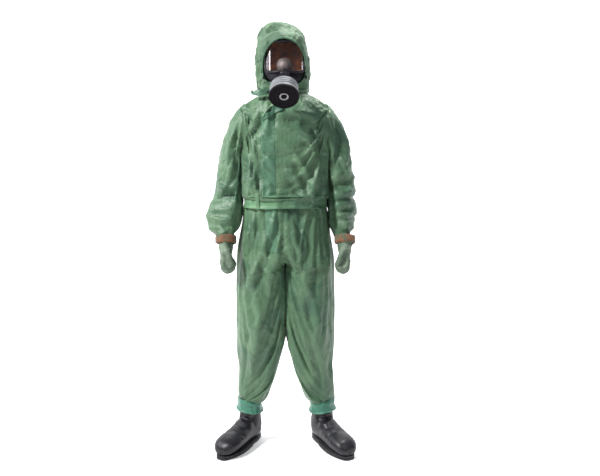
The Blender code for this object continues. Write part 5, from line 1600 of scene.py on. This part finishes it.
BLACK_RUBBER = (0.009, 0.008, 0.011, 1.0)
GREY_RUBBER = (0.018, 0.017, 0.022, 1.0)
face_rubber = face_shell()
face_hole = bmesh.new()
face_hole.from_mesh(face_rubber.data)
bmesh.ops.delete(face_hole, context="VERTS", geom=[
    corner for corner in face_hole.verts
    if abs(math.atan2(corner.co.x, VISOR_MIDDLE[1] - corner.co.y)) * VISOR_RADIUS < VISOR_HALF[0] - 0.001
    and abs(corner.co.z - VISOR_MIDDLE[2]) < VISOR_HALF[1] - 0.001
])
face_hole.to_mesh(face_rubber.data)
face_hole.free()
face_rubber.data.shade_smooth()
seal_high, seal_turn = np.meshgrid(np.linspace(1.560, 1.716, 24), np.radians(np.linspace(20.0, 160.0, 50)),
                                   indexing="ij")
seal_points = np.stack([0.076 * np.cos(seal_turn), MIDDLE_Y - 0.050 + 0.050 * np.sin(seal_turn), seal_high],
                       axis=-1)
face_seal = link("face_seal", grid_mesh("face_seal", seal_points))
seal_paint = rubber_material("face_seal", (0.640, 0.250, 0.120, 1.0), (0.250, 0.140, 0.110, 1.0), 0.55, 0.0020)
face_seal.data.materials.append(seal_paint)
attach(face_seal, "head")
face_rubber.data.materials.append(rubber_material("face_rubber", BLACK_RUBBER, GREY_RUBBER, 0.68, 0.0006,
                                                  gloss=0.1))
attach(face_rubber, "head")
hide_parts("facepiece")

pane_share = np.concatenate([np.linspace(0.0, 0.98, 26), [1.0]])[:, None]
pane_cosine, pane_sine = rounded(np.linspace(0.0, 2 * math.pi, 160, endpoint=False)[None, :], 5.0)
pane_points = visor_place(VISOR_HALF[0] * pane_share * pane_cosine, VISOR_HALF[1] * pane_share * pane_sine,
                          0.0818)
visor_pane = link("visor_pane", grid_mesh("visor_pane", pane_points[::-1], True))
pane_paint = bpy.data.materials.new("visor_pane")
pane_paint.use_nodes = True
pane_shader = pane_paint.node_tree.nodes["Principled BSDF"]
pane_shader.inputs["Base Color"].default_value = (0.88, 0.82, 0.83, 1.0)
pane_shader.inputs["Transmission Weight"].default_value = 1.0
pane_shader.inputs["IOR"].default_value = 1.59
pane_place = pane_paint.node_tree.nodes.new("ShaderNodeTexCoord")
pane_haze = noise_node(pane_paint.node_tree, pane_place.outputs["Object"], 30.0, 3.0, 0.6)
pane_paint.node_tree.links.new(math_node(pane_paint.node_tree, "MULTIPLY_ADD", pane_haze, 0.06, 0.0),
                               pane_shader.inputs["Roughness"])
visor_pane.data.materials.append(pane_paint)
visor_thick = visor_pane.modifiers.new("thickness", "SOLIDIFY")
visor_thick.thickness = 0.0015
visor_thick.offset = -1.0
visor_pane.visible_shadow = False
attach(visor_pane, "head")
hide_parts("visor")

frame_turn = np.linspace(0.0, 2 * math.pi, 200, endpoint=False)
frame_cosine, frame_sine = rounded(frame_turn, 5.0)
frame_path = visor_place((VISOR_HALF[0] + 0.0022) * frame_cosine, (VISOR_HALF[1] + 0.0022) * frame_sine,
                         VISOR_RADIUS + 0.0012)
frame_out = frame_path - VISOR_MIDDLE
frame_out[:, 2] = 0.0
visor_rim = link("visor_rim", tube_mesh("visor_rim", frame_path, 0.0046, 14, True, 0.75, frame_out))
rim_paint = rubber_material("visor_rim", (0.012, 0.011, 0.014, 1.0), BLACK_RUBBER, 0.42, 0.0003, gloss=0.25)
visor_rim.data.materials.append(rim_paint)
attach(visor_rim, "head")
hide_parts("visor_frame")


def lathe(name, start, axis, profile, sides=120):
    """A turned surface. The profile holds (distance along the axis, radius), and goes from the back, over the
    outside, to the front."""
    axis = np.array(axis, float)
    axis /= np.linalg.norm(axis)
    level = np.cross(axis, (1.0, 0.0, 0.0))
    level /= np.linalg.norm(level)
    other = np.cross(axis, level)
    turn = np.linspace(0.0, 2 * math.pi, sides, endpoint=False)
    ring = np.cos(turn)[:, None] * level + np.sin(turn)[:, None] * other
    profile = np.array(profile, float)
    points = np.array(start) + profile[:, 0, None, None] * axis + profile[:, 1, None, None] * ring[None]
    piece = link(name, grid_mesh(name, points, True))
    piece.data.set_sharp_from_angle(angle=math.radians(32.0))
    return piece


INLET = np.array((0.0, MIDDLE_Y - 0.160, 1.562))
INLET_AXIS = (0.0, -1.0, -1.0)
inlet_ring = lathe("inlet_ring", INLET, INLET_AXIS, (
    (-0.024, 0.0165), (-0.018, 0.0195), (-0.004, 0.0215), (0.000, 0.0235), (0.004, 0.0235), (0.010, 0.0210),
    (0.034, 0.0210), (0.036, 0.0200)))
inlet_ring.data.materials.append(rubber_material("inlet_ring", BLACK_RUBBER, BLACK_RUBBER, 0.60, 0.0002,
                                                 gloss=0.1))
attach(inlet_ring, "head")
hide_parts("inlet_socket")

# The harness, valves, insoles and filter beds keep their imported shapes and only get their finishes.
strap_paint = rubber_material("harness_strap", BLACK_RUBBER, GREY_RUBBER, 0.60, 0.0004)
buckle_paint = rubber_material("harness_buckle", (0.035, 0.033, 0.038, 1.0), BLACK_RUBBER, 0.35, 0.0002)
cup_paint = rubber_material("nose_cup", (0.082, 0.072, 0.066, 1.0), (0.038, 0.034, 0.033, 1.0), 0.45, 0.0004)
valve_paint = rubber_material("valve_disc", (0.120, 0.090, 0.070, 1.0), (0.080, 0.060, 0.050, 1.0), 0.55,
                              0.0002)
filter_paint = rubber_material("filter_bed", (0.030, 0.030, 0.031, 1.0), (0.015, 0.015, 0.016, 1.0), 0.85,
                               0.0010)
paper_paint = rubber_material("particle_filter", (0.450, 0.430, 0.380, 1.0), (0.380, 0.360, 0.320, 1.0), 0.85,
                              0.0006)
for paint, names in (
    (strap_paint, ("harness_strap_left", "harness_strap_right", "harness_pad", "insole_left", "insole_right")),
    (buckle_paint, ("harness_buckle_left", "harness_buckle_right", "exhalation_valve_cover",
                    "exhalation_valve_seat", "inhalation_valve_seat", "throat_stud")),
    (cup_paint, ("nose_cup",)),
    (valve_paint, ("inhalation_valve_disc", "exhalation_valve_disc", "filter_gasket")),
    (filter_paint, ("charcoal_bed",)),
    (paper_paint, ("particle_filter",)),
):
    for plain in names:
        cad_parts[plain].data.materials.clear()
        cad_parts[plain].data.materials.append(paint)


# ---------------------------------------------------------------------------------------------
# Filter canister: a drawn aluminium drum with three pressed ribs, painted silver grey, closed by
# a dark cap with shallow rings round its small air intake.


def metal_material(name, base, dark, metallic, roughness):
    """Painted metal: a fine turned grain round the drum, slightly darker in patches."""
    material = bpy.data.materials.new(name)
    material.use_nodes = True
    tree = material.node_tree
    shader = tree.nodes["Principled BSDF"]
    place = tree.nodes.new("ShaderNodeTexCoord")
    broad = noise_node(tree, place.outputs["Object"], 45.0, 4.0, 0.6)
    fine = noise_node(tree, place.outputs["Object"], 900.0, 2.0, 0.5)
    tree.links.new(mix_node(tree, ramp_node(tree, broad, (0.35, 0.70)), dark, base),
                   shader.inputs["Base Color"])
    tree.links.new(math_node(tree, "MULTIPLY_ADD", broad, 0.25, roughness - 0.12), shader.inputs["Roughness"])
    shader.inputs["Metallic"].default_value = metallic
    relief = tree.nodes.new("ShaderNodeBump")
    relief.inputs["Distance"].default_value = 0.0001
    tree.links.new(fine, relief.inputs["Height"])
    tree.links.new(relief.outputs[0], shader.inputs["Normal"])
    return material


drum_profile = [(0.0120, 0.0210), (0.0500, 0.0210), (0.0509, 0.0225), (0.0512, 0.0440),
                (0.0525, 0.0510), (0.0550, 0.0540), (0.0580, 0.0550)]
for rib in (0.0660, 0.0770, 0.0880):
    drum_profile += [(rib - 0.0030, 0.0550), (rib - 0.0018, 0.0545), (rib - 0.0006, 0.0532),
                     (rib + 0.0006, 0.0532), (rib + 0.0018, 0.0545), (rib + 0.0030, 0.0550)]
drum_profile += [(0.0975, 0.0550), (0.0985, 0.0556), (0.1010, 0.0556), (0.1020, 0.0550), (0.1076, 0.0548)]
canister_drum = lathe("canister_drum", INLET, INLET_AXIS, drum_profile)
canister_drum.data.materials.append(metal_material("canister_drum", (0.200, 0.210, 0.220, 1.0),
                                                   (0.130, 0.140, 0.150, 1.0), 0.10, 0.60))
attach(canister_drum, "filter")
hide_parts("filter_canister")

cap_face = lathe("cap_face", INLET, INLET_AXIS, (
    (0.1020, 0.0555), (0.1030, 0.0578), (0.1115, 0.0582), (0.1128, 0.0572), (0.1131, 0.0540),
    (0.1112, 0.0526), (0.1112, 0.0446), (0.1120, 0.0438), (0.1120, 0.0400), (0.1112, 0.0392),
    (0.1112, 0.0250), (0.1118, 0.0240), (0.1118, 0.0200), (0.1108, 0.0185), (0.1108, 0.0175)))
cap_paint = rubber_material("cap_face", (0.009, 0.006, 0.009, 1.0), (0.004, 0.003, 0.005, 1.0), 0.60, 0.0003,
                            gloss=0.1)
cap_face.data.materials.append(cap_paint)
intake_ring = lathe("intake_ring", INLET, INLET_AXIS, (
    (0.1100, 0.0178), (0.1122, 0.0172), (0.1130, 0.0160), (0.1130, 0.0135), (0.1122, 0.0122),
    (0.1080, 0.0110)))
intake_ring.data.materials.append(metal_material("intake_ring", (0.420, 0.410, 0.410, 1.0),
                                                 (0.340, 0.330, 0.330, 1.0), 0.30, 0.38))
intake_grid = lathe("intake_grid", INLET, INLET_AXIS, (
    (0.1085, 0.0112), (0.1080, 0.0080), (0.1095, 0.0070), (0.1095, 0.0048), (0.1080, 0.0040),
    (0.1078, 0.0004)), 48)
intake_grid.data.materials.append(cap_paint)
for cap_piece in (cap_face, intake_ring, intake_grid):
    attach(cap_piece, "filter")
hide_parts("canister_cap")
